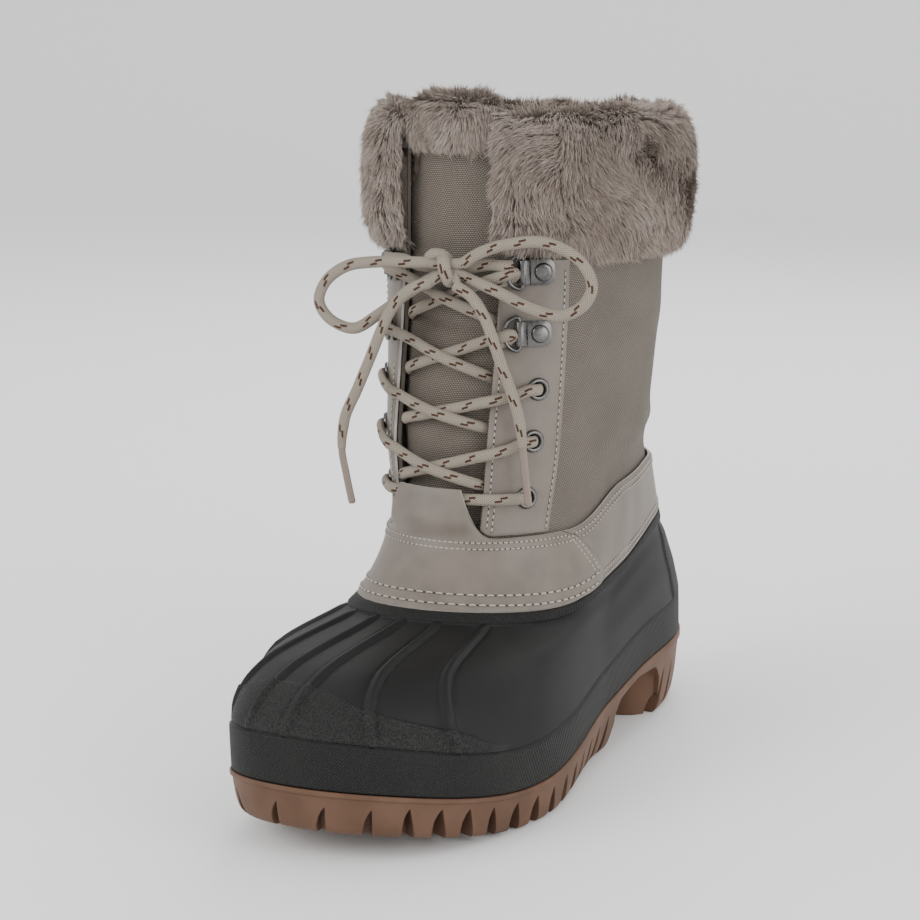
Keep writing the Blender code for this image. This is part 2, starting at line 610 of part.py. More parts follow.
eyestays, holes = {}, {}
for word, side in (("outer", 1), ("inner", -1)):
    eyestays[word] = eyestay("eyestay_" + word, side)
    holes[word] = helper("cut_holes_" + word, [
        round_cutter(level, THROAT_MID + side * EYELET_ARC, EYELET_HOLE, -7.0, 5.0) for level in EYELET_LEVELS])
    boolean(eyestays[word], "DIFFERENCE", holes[word])
    boolean(shaft, "DIFFERENCE", holes[word])


# ---------------------------------------------------------------- tongue
def tongue_outward(level):
    return pchip((3.6, 4.4, 5.1, 5.8, 8.2, 9.1, 10.6),
                 np.broadcast_to(np.array((-6.5, -6.2, -5.4, -3.9, -3.2, -3.4, -4.6)), np.shape(level) + (7,)), level)


tongue_levels = np.array([3.7, 4.2, 4.7, 5.3, 6.1, 7.2, 8.2, 8.9, 9.4, 10.05])
outer, inner = [], []
for level in tongue_levels:
    wide = TONGUE_HALF + (TONGUE_TOP_HALF - TONGUE_HALF) * float(smooth((level - 8.8) / 0.7))
    arc = THROAT_MID + wide * np.array([-1, -0.75, -0.5, -0.25, 0, 0.25, 0.5, 0.75, 1])
    turn = turn_at(np.full(arc.shape, min(level, 10.4)), arc)
    full = 1.0 - (arc - THROAT_MID) ** 2 / wide**2
    lay = tongue_outward(np.full(arc.shape, level))
    outer.append(S(np.full(arc.shape, level), turn, lay))
    inner.append(S(np.full(arc.shape, level), turn, lay - 2.2 - 1.6 * full))
tongue = body("tongue", [wall(outer, inner, closed=False)], NYLON)


# ---------------------------------------------------------------- fur cuff
CUFF_SOLES = 211.5        # height of the cuff's lower edge over the clips
CUFF_EDGE = 207.0         # and round the rest
CUFF_CROWN = 267.5
INNER_LEG = 228.0
FLAP_START, LEG_START = 21.0, 42.0


def by_height(z, turn, outward):
    """A point of the shaft's surface at this height, above the collar."""
    level = np.clip(COLLAR + (z - 208.0) * (TOP - COLLAR) / (267.0 - 208.0), COLLAR - 0.2, TOP)
    place = S(level, turn, outward)
    place[..., 2] = z
    return place


rim = surface(COLLAR, np.linspace(0, 2 * math.pi, 721))
rim_run = np.concatenate([[0], np.cumsum(np.linalg.norm(np.diff(rim, axis=0), axis=1))])
rim_length = rim_run[-1]


def rim_turn(arc):
    return np.interp(np.mod(arc, rim_length), rim_run, np.linspace(0, 2 * math.pi, 721))


def cuff_section(away, column):
    """The folded cuff at one place; away is the distance from the throat's middle."""
    end = smooth((away - FLAP_START) / 7.0) * 0.45 + 0.55
    leg = smooth((away - LEG_START) / 8.0)
    low = CUFF_EDGE + (CUFF_SOLES - CUFF_EDGE) * (1 - smooth((away - 48) / 14))
    tuft = 1.0 if column % 2 else -1.0
    wave = 1.0 * math.sin(column * 1.15) + 0.6 * math.sin(column * 0.47 + 1.0)
    crown = CUFF_CROWN - 2.5 * smooth((away - 60) / 60) + 1.0 * wave
    thick = lambda value, k: end * (value + 0.7 * wave + (0.45 * tuft if k % 2 else -0.45 * tuft))
    inside = 4.4 + 4.6 * leg
    inner_low = 250.9 + (INNER_LEG - 250.9) * leg
    return [(0.55, low + 2.5), (end * 5.5, low - 0.8 * (1 + tuft)), (thick(9.4, 1), low + 5.5), (thick(11.2, 2), low + 15),
            (thick(11.6, 3), low + 27), (thick(11.2, 4), low + 39), (thick(9.0, 5), 257.5), (end * 5.2, crown - 3.0),
            (0.0, crown), (-inside * 0.7, crown - 3.5), (-inside - 0.3 * tuft, 256.0), (-inside + 0.5, inner_low),
            (-2.95, inner_low), (-2.95, 250.35), (0.55, 250.35)]


count = 44
span = rim_length - 2 * FLAP_START
places = FLAP_START + span * (np.arange(count) / (count - 1) + 0.35 / count * np.sin(2 * math.pi * np.arange(count) / (count - 1)) * -1)
rings = []
for column, along in enumerate(places):
    away = min(along, rim_length - along)
    turn = rim_turn(THROAT_MID + along)
    rings.append([by_height(z, np.array(turn), np.array(o)) for o, z in cuff_section(away, column)])


def swept(rings):
    rings = np.asarray(rings, float)
    count, sides = rings.shape[:2]
    at = lambda i, j: i * sides + j % sides
    faces = [(at(i, j), at(i, j + 1), at(i + 1, j + 1), at(i + 1, j))
             for i in range(count - 1) for j in range(sides)]
    faces.append(tuple(at(0, j) for j in range(sides))[::-1])
    faces.append(tuple(at(count - 1, j) for j in range(sides)))
    return rings.reshape(-1, 3), faces


fur_cuff = body("fur_cuff", [swept(rings)], FUR)

rings = []
for column, away in enumerate(np.linspace(-19.3, 19.3, 11)):
    turn = rim_turn(THROAT_MID + away)
    end = math.sqrt(max(1 - (away / 21.5) ** 4, 0.0))
    tuft = 0.6 if column % 2 else -0.6
    face, back = -4.0, -8.6
    section = [(face + 0.5, 253.0), (face + 4.5 * end, 252.0 - tuft), (face + 8.5 * end + tuft, 258.0), (face + 8.0 * end - tuft, 265.0),
               (face + 4.0 * end, 266 + 5 * end + tuft), (face - 3.0, 266 + 7 * end), (back - 3.5 * end, 264 + 4 * end),
               (back - 5.0 * end + tuft, 256.0), (back - 4.5 * end, 243.0), (back - 0.6, 242.0), (back - 0.6, 258.9), (face + 0.5, 258.9)]
    rings.append([by_height(z, np.array(turn), np.array(o)) for o, z in section])
tongue_fur = body("tongue_fur", [swept(rings)], FUR)


# ---------------------------------------------------------------- eyelets, clips and rings
def frame_at(level, arc):
    """Place, outward, up and sideways (towards a larger arc) on the shaft."""
    turn = turn_at(np.array(level), np.array(arc))
    place, out = surface(np.array(level), turn), normal(np.array(level), turn)
    up = np.array([0.0, 0.0, 1.0]) - out * out[2]
    up /= np.linalg.norm(up)
    return place, out, up, np.cross(up, out)


def leather_top(level):
    return float(shaft_outward(level)) + EYESTAY_CLEAR + LEATHER


def turned(level, arc, section, sides):
    """A section of (radius, outward) turned round the surface's normal."""
    place, out, up, side = frame_at(level, arc)
    rings = [[place + out * o + r * (math.cos(a) * side + math.sin(a) * up) for r, o in section]
             for a in np.arange(sides) * 2 * math.pi / sides]
    n = len(section)
    faces = [(i * n + j, i * n + (j + 1) % n, (i + 1) % sides * n + (j + 1) % n, (i + 1) % sides * n + j)
             for i in range(sides) for j in range(n)]
    return np.concatenate(rings), faces


def dome(level, arc, radius, low, height, sides=10):
    place, out, up, side = frame_at(level, arc)
    rows = ((1.0, 0.0), (1.0, 0.35), (0.74, 0.82))
    points = [place + out * (low + height * h) + radius * r * (math.cos(a) * side + math.sin(a) * up)
              for r, h in rows for a in np.arange(sides) * 2 * math.pi / sides]
    points.append(place + out * (low + height))
    faces = [(i * sides + j, i * sides + (j + 1) % sides, (i + 1) * sides + (j + 1) % sides, (i + 1) * sides + j)
             for i in range(2) for j in range(sides)]
    faces += [(2 * sides + j, 2 * sides + (j + 1) % sides, 3 * sides) for j in range(sides)]
    faces.append(tuple(range(sides))[::-1])
    return points, faces


BAR_ARC = 31.3            # the ring's straight side, under the clip's fold
RING_REACH, RING_TALL, RING_WIRE = 6.4, 6.6, 0.85
for word, side in (("outer", 1), ("inner", -1)):
    for k, level in enumerate(EYELET_LEVELS):
        top = leather_top(level)
        body(f"eyelet_{word}_{k + 1}", [turned(level, THROAT_MID + side * EYELET_ARC, (
            (EYELET_HOLE + 0.35, top + 0.5), (EYELET_BRIM, top + 0.5), (EYELET_BRIM - 0.5, top + 1.2),
            (EYELET_HOLE + 0.75, top + 1.45)), 10)], NICKEL)
    for k, level in enumerate(RING_LEVELS):
        top = leather_top(level)
        # The clip's plate, with a rounded end, and its fold over the ring's bar.
        place, out, up, across = frame_at(level, THROAT_MID + side * RIVET_ARC)
        across = across * -side                    # towards the throat
        plan = [(6.0, -5.0), (6.0, 5.0), (-1.6, 5.2), (-3.9, 4.1), (-4.9, 1.8), (-4.9, -1.8), (-3.9, -4.1), (-1.6, -5.2)]
        n = len(plan)
        points = [place + out * o + across * s + up * u for o in (top + 0.5, top + 1.4) for s, u in plan]
        faces = [(j, (j + 1) % n, n + (j + 1) % n, n + j) for j in range(n)] + [tuple(range(n))[::-1], tuple(range(n, 2 * n))]
        clip = body(f"clip_{word}_{k + 1}", [(points, faces)], NICKEL)
        bar_place, bar_out, bar_up, bar_across = frame_at(level, THROAT_MID + side * BAR_ARC)
        bar_across = bar_across * -side
        bar = bar_place + bar_out * (top + 1.75)
        fold = [bar - bar_across * 3.2 - bar_out * 1.1, bar - bar_across * 3.2 + bar_out * 0.1]
        fold += [bar + 2.1 * (math.cos(a) * bar_across + math.sin(a) * bar_out) for a in np.radians((125, 90, 45, 0, -40))]
        fold += [bar + 1.2 * (math.cos(a) * bar_across + math.sin(a) * bar_out) for a in np.radians((-40, 20, 80, 130, 180))]
        fold += [bar - bar_across * 1.9 - bar_out * 1.1]
        n = len(fold)
        points = [p + bar_up * u for u in (-4.8, 4.8) for p in fold]
        faces = [(j, (j + 1) % n, n + (j + 1) % n, n + j) for j in range(n)] + [tuple(range(n))[::-1], tuple(range(n, 2 * n))]
        boolean(clip, "UNION", helper(f"join_fold_{word}_{k + 1}", [(points, faces)]))
        boolean(clip, "UNION", helper(f"join_rivet_{word}_{k + 1}", [dome(level, THROAT_MID + side * RIVET_ARC, 3.5, top + 0.9, 2.3)]))
        # The ring: a bar with a bow towards the throat.
        path = [bar + bar_up * RING_TALL * math.sin(a) + bar_across * RING_REACH * math.cos(a) + bar_out * 0.8 * math.cos(a)
                for a in np.radians((-90, -64, -38, -13, 13, 38, 64, 90))]
        path += [bar + bar_up * u for u in (3.2, -3.2)]
        path = np.array(path)
        along = np.roll(path, -1, axis=0) - np.roll(path, 1, axis=0)
        along /= np.linalg.norm(along, axis=1, keepdims=True)
        bow = np.cross(along, bar_out)
        bow /= np.linalg.norm(bow, axis=1, keepdims=True)
        lift = np.cross(bow, along)
        sides = 5
        points = [path[i] + RING_WIRE * (math.cos(a) * bow[i] + math.sin(a) * lift[i])
                  for i in range(len(path)) for a in np.arange(sides) * 2 * math.pi / sides]
        n = len(path)
        faces = [(i * sides + j, i * sides + (j + 1) % sides, (i + 1) % n * sides + (j + 1) % sides, (i + 1) % n * sides + j)
                 for i in range(n) for j in range(sides)]
        body(f"ring_{word}_{k + 1}", [(points, faces)], NICKEL)


# ---------------------------------------------------------------- lace
def lace_strand(points, count):
    """points: distance from the throat's middle, level, outward."""
    path = through([(a, level * 25.0, o) for a, level, o in points], count)
    arc, level, out = path[:, 0] + THROAT_MID, path[:, 1] / 25.0, path[:, 2]
    turn = turn_at(level, arc)
    place = S(level, turn, out)
    return place, np.cross(np.gradient(place, axis=0), normal(level, turn))


def run_over(side, low, high, ends_at_ring, over):
    """One strand: from under one edge of the throat, over the tongue, to the other side's eyelet."""
    start = low + 0.22
    end = BAR_ARC - 3.3 if ends_at_ring else EYELET_ARC
    level = lambda away: start + (high - start) * (away + 18.5) / (end + 18.5)
    top = leather_top(high)
    lift = 3.0 if over else 0.0
    points = [(-18.5, start, -0.6), (-10, level(-10), -0.3 + 0.6 * lift), (0, level(0), 0.0 + lift), (10, level(10), 0.3 + 0.6 * lift),
              (17.5, level(17.5), top * 0.5 + (2.6 if ends_at_ring else 1.2)),
              (22.0, level(22.0), top + (4.6 if ends_at_ring else 2.0))]
    if ends_at_ring:
        points += [(25, level(25), top + 5.7), (end, high, top + 5.8)]
    else:
        points += [(32, level(32), top + 2.6), (end, high, top + 3.5)]
    return lace_strand([(side * a, lv, o) for a, lv, o in points], 10)


stations = [(level, False) for level in EYELET_LEVELS] + [(level, True) for level in RING_LEVELS]
for k in range(len(stations) - 1):
    (low, _), (high, at_ring) = stations[k], stations[k + 1]
    under_path, under_side = run_over(1, low, high, at_ring, False)
    over_path, over_side = run_over(-1, low, high, at_ring, True)
    crossing = body(f"lace_crossing_{k + 1}", [tube(under_path, under_side, LACE_WIDE, LACE_THICK)], CORD)
    boolean(crossing, "UNION", helper(f"join_lace_{k + 1}", [tube(over_path, over_side, LACE_WIDE, LACE_THICK)]))

top = leather_top(EYELET_LEVELS[0])
half = [(12, 4.75, -0.6), (16.5, 4.75, -0.2), (22.5, 4.75, top + 2.15), (32, 4.75, top + 2.6), (EYELET_ARC, 4.75, top + 3.5)]
bar_points = [(-a, level, o) for a, level, o in half[::-1]] + [(0, 4.75, -0.7)] + half
bar_path, bar_side = lace_strand(bar_points, 15)
body("lace_bar", [tube(bar_path, bar_side, LACE_WIDE, LACE_THICK)], CORD)

# The bow, by its distance along the front, up and forward of the knot (mm).
KNOT_UP, KNOT_OUT, KNOT_ALONG, BOW_TURN = 8.05, 9.0, 5.0, math.radians(10)
knot_turn = turn_at(np.array(KNOT_UP), np.array(THROAT_MID))
along_axis = np.array([math.cos(BOW_TURN), math.sin(BOW_TURN), 0.0])
forward_axis = np.array([math.sin(BOW_TURN), -math.cos(BOW_TURN), 0.0])
KNOT = S(np.array(KNOT_UP), knot_turn, np.array(KNOT_OUT)) + along_axis * KNOT_ALONG


def bow_place(points):
    points = np.asarray(points, float)
    return KNOT + points[:, :1] * along_axis + points[:, 1:2] * np.array([0.0, 0.0, 1.0]) + points[:, 2:] * forward_axis


BOW = {  # along, up, forward
    "lace_loop_inner": ((-7.4, 2.2, 0.4), (-20, 2.2, 1.0), (-38, 0.8, 1.0), (-51, -6.5, 1.0), (-54.5, -14.5, 1.0), (-50, -22, 0.5),
                        (-40.5, -25.5, 0.0), (-29.5, -19.5, -0.6), (-18, -11, -1.8), (-8.2, -4.6, -2.6)),
    "lace_loop_outer": ((7.4, 2.6, 1.0), (14, 6.8, 2.2), (26.5, 11, 3.8), (39, 12.5, 4.2), (50, 9.5, 4.0), (58, 3.0, 3.4), (60.5, -4.0, 2.6),
                        (57, -11.5, 2.6), (47, -16, 3.4), (35, -13, 4.2), (22, -7.4, 3.8), (14, -4.8, 2.0), (8.2, -3.4, -0.6)),
    "lace_end_inner": ((-5.4, -5.0, 3.8), (-12.5, -7.5, 4.4), (-21, -15, 4.2), (-26, -24, 3.6), (-31.5, -36, 2.6), (-38, -50, 1.6),
                       (-44, -63, 0.8), (-45.4, -74, 0.4), (-43.6, -85, 0.2), (-41, -97, 0.2)),
    "lace_end_outer": ((4.8, -5.8, 3.6), (11.5, -9.5, 4.4), (16.8, -15.8, 5.4), (20.4, -23.5, 5.8), (24.2, -35.5, 4.6), (28.4, -47.5, 3.2),
                       (31.6, -58, 3.4), (33, -68, 3.6), (34, -78, 3.6), (35.6, -91.5, 3.6)),
}
CORD_RADIUS = 2.1
for name, table in BOW.items():
    count = 17 if "loop" in name else 12
    path = bow_place(through(table, count)) - np.array([CENTRE_X, CENTRE_Y, 0.0])
    data = bpy.data.curves.new(name, "CURVE")
    data.dimensions = "3D"
    data.bevel_depth = CORD_RADIUS * MM
    data.bevel_resolution = 2
    data.use_fill_caps = True
    spline = data.splines.new("POLY")
    spline.points.add(len(path) - 1)
    for point, place in zip(spline.points, path * MM):
        point.co = (*place, 1.0)
    cord = bpy.data.objects.new(name, data)
    bpy.context.scene.collection.objects.link(cord)
    data.materials.append(material(name + "_colour", *CORD))

# The knot: a turn of the lace over the crossing point, and the two leads from the top rings.
knot_path = bow_place([(-0.8, 5.0, -1.4), (-0.6, 3.4, 2.2), (0.4, 0.0, 3.4), (1.2, -3.6, 2.2), (1.4, -5.2, -1.4)])
knot = body("lace_knot", [tube(through(knot_path, 7), np.tile(along_axis, (7, 1)), 5.6, 4.4, 8)], CORD)
core = bow_place([(-4.6, 0.2, -1.4), (0.0, 0.0, -0.6), (4.6, 0.0, -1.4)])
boolean(knot, "UNION", helper("join_core", [tube(core, np.tile([0.0, 0.0, 1.0], (3, 1)), 7.6, 5.0, 8)]))
for word, side in (("outer", 1), ("inner", -1)):
    ring_end = S(np.array(8.22), turn_at(np.array(8.22), np.array(THROAT_MID + side * 20.5)), np.array(4.6))
    middle = bow_place([(side * 9.0 - (1 if side > 0 else 3), 0.2, -4.4)])[0]
    lead = through([ring_end, middle, bow_place([(side * 2.0, 0.0, -2.0)])[0]], 5)
    boolean(knot, "UNION", helper("join_lead_" + word, [tube(lead, np.tile([0.0, 0.0, 1.0], (5, 1)), LACE_WIDE, LACE_THICK)]))
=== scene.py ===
# %% [markdown]
# # A lace-up winter boot, dressed in Blender
#
# The boot has a moulded rubber foot, a gum rubber sole, a nylon shaft, leather bands and a folded fur cuff.
# Its solids come from a packed model. This script loads them as a fixed frame and builds the finish round them.
# Each cell makes one piece or one finish, and prints what it made.

# %% Load the packed boot
import math

import bpy
import numpy as np
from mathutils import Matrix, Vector


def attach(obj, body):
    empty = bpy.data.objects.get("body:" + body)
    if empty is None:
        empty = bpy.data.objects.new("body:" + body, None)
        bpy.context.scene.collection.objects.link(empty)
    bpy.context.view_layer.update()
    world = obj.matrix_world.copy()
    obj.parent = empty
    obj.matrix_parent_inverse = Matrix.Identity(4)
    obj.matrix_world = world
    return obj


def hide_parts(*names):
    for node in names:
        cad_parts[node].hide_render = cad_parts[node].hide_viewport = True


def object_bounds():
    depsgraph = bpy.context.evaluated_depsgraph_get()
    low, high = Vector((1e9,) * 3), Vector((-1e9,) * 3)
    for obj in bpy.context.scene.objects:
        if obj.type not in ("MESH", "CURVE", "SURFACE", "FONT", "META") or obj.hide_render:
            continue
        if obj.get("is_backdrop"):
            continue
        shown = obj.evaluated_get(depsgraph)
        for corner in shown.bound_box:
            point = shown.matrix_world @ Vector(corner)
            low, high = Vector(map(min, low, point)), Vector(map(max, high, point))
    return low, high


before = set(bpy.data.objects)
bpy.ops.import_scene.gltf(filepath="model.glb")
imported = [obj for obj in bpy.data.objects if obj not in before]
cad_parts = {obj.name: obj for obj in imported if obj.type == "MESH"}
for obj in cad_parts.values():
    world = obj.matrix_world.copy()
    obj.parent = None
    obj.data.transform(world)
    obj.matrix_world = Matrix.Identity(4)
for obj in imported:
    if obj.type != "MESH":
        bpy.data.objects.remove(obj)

SOLID_LOW, SOLID_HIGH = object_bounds()
print("solids:", [round(1000 * s) for s in SOLID_HIGH - SOLID_LOW], "mm")

# %% [markdown]
# ## The camera
#
# The boot is seen from its outer front quarter, a little from above, as on a shop's product page.
# A long lens from less than a metre away keeps the toe large and the heel small without bending the shaft.

# %% Put the camera in front of the toe, on the outer side
EYE = Vector((0.4622, -0.7918, 0.3076))
LOOK_AT = Vector((0.0109, -0.0265, 0.1300))
camera = bpy.data.objects.new("camera", bpy.data.cameras.new("camera"))
camera.data.lens = 90.0
camera.location = EYE
camera.rotation_mode = "QUATERNION"
camera.rotation_quaternion = (LOOK_AT - EYE).to_track_quat("-Z", "Y")
camera.data.clip_start, camera.data.clip_end = 0.05, 50.0
bpy.context.scene.collection.objects.link(camera)
bpy.context.scene.camera = camera
print("camera", round((LOOK_AT - EYE).length, 3), "m from the boot")

# %% [markdown]
# ## The last
#
# A boot is built round a last, a solid foot. Here the last is one surface with two numbers on it.
# The level goes from 0 at the welt up to 10.4 at the rim, and each level is a closed loop.
# The turn goes round a loop from 0 at the front to pi at the back, along the outer side, and on to the front again.
# The table has a row for each level, in millimetres, and a smooth curve joins its rows.

# %% The levels of the last
MM = 0.001
DESIGN_CENTRE = np.array([-8.5, 3.0, 0.0])    # where the design's own zero lies from the boot's middle
GUM, FOX, CAP, VAMP, RIM, BAND, BANDTOP, ANKLE, COLLAR, TOP = (
    0.0, 1.0, 1.6, 2.3, 3.0, 3.25, 4.2, 5.6, 8.2, 10.4)
COLUMNS = ("level", "toe_y", "heel_y", "toe_z", "ball_z", "waist_z", "seat_z", "heel_z",
           "axis_x", "ball_out", "ball_in", "waist_out", "waist_in", "seat_out", "seat_in",
           "toe_round", "heel_round")
LEVELS = np.array((
    (GUM, -141, 148, 30, 16, 24, 30, 31, 0, 60, 48, 45, 38, 38, 40, 0.34, 0.26),
    (FOX, -141, 147, 48, 32, 40, 47, 48, 0, 60, 49, 46, 39, 38, 40, 0.34, 0.26),
    (CAP, -133, 144, 57, 45, 49, 57, 59, -1, 57, 49, 45, 40, 38, 40, 0.34, 0.27),
    (VAMP, -112, 140, 65, 58, 59, 68, 71, -3, 52, 49, 43, 40, 37, 39, 0.36, 0.28),
    (RIM, -58, 135, 73, 67, 71, 81, 84, -6, 47, 47, 42, 42, 38, 39, 0.40, 0.32),
    (BAND, -51, 133, 76, 71, 76, 86, 89, -6, 46, 46, 42, 42, 38, 39, 0.41, 0.33),
    (BANDTOP, -28, 128, 99, 98, 110, 113, 113, -8, 43, 43, 42, 42, 38, 38, 0.46, 0.38),
    (ANKLE, -20, 121, 138, 138, 138, 138, 138, -9, 46, 46, 48, 48, 42, 42, 0.50, 0.42),
    (COLLAR, -10, 114, 208, 208, 208, 208, 208, -9, 52, 52, 55, 55, 50, 50, 0.52, 0.45),
    (TOP, -9, 115, 267, 267, 267, 267, 267, -9, 53, 53, 56, 56, 51, 51, 0.52, 0.45)), float)
TREAD = dict(zip(COLUMNS, (-1.0, -134, 139, 12, 0, 0, 0, 0, 0, 57, 45, 37, 30, 34, 36, 0.34, 0.26)))
print(len(LEVELS), "levels")


# %% The curve that joins the rows
def pchip(xs, ys, x, flat=False):
    """A smooth curve through (xs, ys[..., k]) that never overshoots, read at x."""
    xs, ys, x = np.asarray(xs, float), np.asarray(ys, float), np.asarray(x, float)
    step = np.diff(xs)
    rise = np.diff(ys, axis=-1) / step
    near, far = rise[..., :-1], rise[..., 1:]
    w1, w2 = 2 * step[1:] + step[:-1], step[1:] + 2 * step[:-1]
    with np.errstate(divide="ignore", invalid="ignore"):
        middle = (w1 + w2) / (w1 / near + w2 / far)
    middle = np.where(near * far > 0, middle, 0.0)
    ends = 0.0 if flat else 1.0
    slope = np.concatenate([rise[..., :1] * ends, middle, rise[..., -1:] * ends], axis=-1)
    k = np.clip(np.searchsorted(xs, x, side="right") - 1, 0, len(step) - 1)
    s = (x - xs[k]) / step[k]
    ys = np.broadcast_to(ys, x.shape + ys.shape[-1:])
    slope = np.broadcast_to(slope, x.shape + slope.shape[-1:])

    def pick(values, index):
        return np.take_along_axis(values, index[..., None], axis=-1)[..., 0]

    return ((2 * s**3 - 3 * s**2 + 1) * pick(ys, k) + (s**3 - 2 * s**2 + s) * step[k] * pick(slope, k)
            + (-2 * s**3 + 3 * s**2) * pick(ys, k + 1) + (s**3 - s**2) * step[k] * pick(slope, k + 1))


def by_table(xs, ys, x):
    """A curve with the same table at every place of x."""
    return pchip(xs, np.broadcast_to(np.array(ys, float), np.shape(x) + (len(ys),)), x)


def smooth(t):
    """From 0 to 1 with soft ends."""
    t = np.clip(t, 0.0, 1.0)
    return t * t * (3 - 2 * t)


print("smooth at a quarter:", float(smooth(0.25)))


# %% The surface of the last
INFLARE = 9.0             # how far the toe swings to the inner side
WIDTH_AT = (0.0, 0.30, 0.58, 0.82, 1.0)       # along the foot: toe, ball, waist, seat, heel
HEIGHT_AT = (0.0, 0.28, 0.55, 0.80, 1.0)


def loop_of(row, turn):
    """Points of a loop whose sizes are in row, one number or one array for each column."""
    turn = np.asarray(turn, float)
    q = (1 - np.cos(turn)) / 2
    stack = lambda *names: np.stack([np.broadcast_to(row[n], turn.shape) for n in names], -1)
    out = pchip(WIDTH_AT, stack("ball_out", "ball_out", "waist_out", "seat_out", "seat_out"), q, True)
    inn = pchip(WIDTH_AT, stack("ball_in", "ball_in", "waist_in", "seat_in", "seat_in"), q, True)
    front = (1 - np.clip(1 - q / row["toe_round"], 0, 1) ** 2.25) ** (1 / 2.25)
    back = (1 - np.clip((q - 1 + row["heel_round"]) / row["heel_round"], 0, 1) ** 2.25) ** (1 / 2.25)
    y = row["toe_y"] + q * (row["heel_y"] - row["toe_y"])
    z = pchip(HEIGHT_AT, stack("toe_z", "ball_z", "waist_z", "seat_z", "heel_z"), q)
    swing = -INFLARE * np.clip((10 - y) / 150, 0, 1) ** 1.5
    return np.stack([np.where(np.sin(turn) >= 0, out, -inn) * front * back + row["axis_x"] + swing, y, z], -1)


def surface(level, turn):
    level, turn = np.broadcast_arrays(np.asarray(level, float), np.asarray(turn, float))
    return loop_of({name: pchip(LEVELS[:, 0], LEVELS[:, i], level)
                    for i, name in enumerate(COLUMNS) if i}, turn)


def normal(level, turn):
    level, turn = np.broadcast_arrays(np.asarray(level, float), np.asarray(turn, float))
    along = surface(level, turn + 0.02) - surface(level, turn - 0.02)
    up = surface(np.clip(level + 0.05, GUM, TOP), turn) - surface(np.clip(level - 0.05, GUM, TOP), turn)
    n = np.cross(along, up)
    return n / np.linalg.norm(n, axis=-1, keepdims=True)


def S(level, turn, offset=0.0):
    """A point of the boot's surface, moved outwards by the offset."""
    return surface(level, turn) + normal(level, turn) * np.asarray(offset, float)[..., None]


print("the toe's tip at the welt:", np.round(surface(GUM, 0.0), 1), "mm")


# %% Distances round the last
ROUND = np.linspace(0, 2 * math.pi, 721)


def run_of(path):
    """The distance along a path to each of its points."""
    return np.concatenate([[0], np.cumsum(np.linalg.norm(np.diff(path, axis=0), axis=1))])


def length_of(path):
    return float(np.linalg.norm(np.diff(path, axis=0), axis=1).sum())


def turn_at(level, arc):
    """The turn that is this distance round a loop from its front; a negative distance goes to the inner side."""
    level, arc = np.broadcast_arrays(np.asarray(level, float), np.asarray(arc, float))
    found = np.zeros(level.shape)
    for height in np.unique(level):
        loop = surface(height, ROUND)
        run = run_of(loop)
        here = level == height
        found[here] = np.interp(np.mod(arc[here], run[-1]), run, ROUND)
    return np.where(arc < 0, found - 2 * math.pi, found)


def girth(level):
    """The length of the loop at a level."""
    return length_of(surface(level, ROUND))


print("girth at the ankle", round(girth(ANKLE)), "mm, at the collar", round(girth(COLLAR)), "mm")

# %% [markdown]
# ## Meshes from arrays
#
# Most pieces are grids: rows of points over the last, joined by four-sided faces.
# Arrays from numpy fill a mesh much faster than a loop over single points.
# Each point can also carry the numbers that its finish reads, such as its distance along a lace.


# %% A mesh object from arrays
def to_boot(points):
    """From the design's millimetres to the frame's metres."""
    return (np.asarray(points, float) - DESIGN_CENTRE) * MM


def piece(name, points, faces, finishes, stands_for=(), fields=None, sharp=40, kinds=None):
    """A piece of the boot, ridden, slotted and named.

    faces is a list of arrays, each row a face of three or four corners, and kinds picks the finish of each face.
    """
    mesh = bpy.data.meshes.new(name)
    corners = np.concatenate([f.ravel() for f in faces]).astype(np.int32)
    sizes = np.concatenate([np.full(len(f), f.shape[1]) for f in faces])
    mesh.vertices.add(len(points))
    mesh.vertices.foreach_set("co", to_boot(points).astype(np.float32).ravel())
    mesh.loops.add(len(corners))
    mesh.loops.foreach_set("vertex_index", corners)
    mesh.polygons.add(len(sizes))
    mesh.polygons.foreach_set("loop_start", (np.cumsum(sizes) - sizes).astype(np.int32))
    for finish in finishes if isinstance(finishes, (list, tuple)) else [finishes]:
        mesh.materials.append(finish)
    if kinds is not None:
        mesh.polygons.foreach_set("material_index", np.asarray(kinds, np.int32))
    mesh.update(calc_edges=True)
    mesh.polygons.foreach_set("use_smooth", np.ones(len(sizes), bool))
    if sharp:
        mesh.set_sharp_from_angle(angle=math.radians(sharp))
    for field, values in (fields or {}).items():
        values = np.asarray(values, np.float32)
        if values.ndim > 1:
            mesh.attributes.new(field, "FLOAT_VECTOR", "POINT").data.foreach_set("vector", values.ravel())
        else:
            mesh.attributes.new(field, "FLOAT", "POINT").data.foreach_set("value", values)
    made = bpy.data.objects.new(name, mesh)
    bpy.context.scene.collection.objects.link(made)
    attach(made, "root")
    if stands_for:
        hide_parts(*stands_for)
    return made


print("the design's zero is at", np.round(to_boot((0, 0, 0)), 4), "m")


# %% The faces of a grid
def grid_faces(rows, columns, first=0, turned=False):
    """The faces of a grid that isn't closed. A ring repeats its first column as its last."""
    low = np.arange(rows - 1)[:, None] * columns + np.arange(columns - 1)[None] + first
    quads = np.stack([low, low + 1, low + columns + 1, low + columns], -1).reshape(-1, 4)
    return quads[:, ::-1] if turned else quads


def triangles(*pieces):
    return sum(len(p.vertices) - 2 for o in pieces for p in o.data.polygons)


print("a grid of 3 by 4 points has", len(grid_faces(3, 4)), "faces")


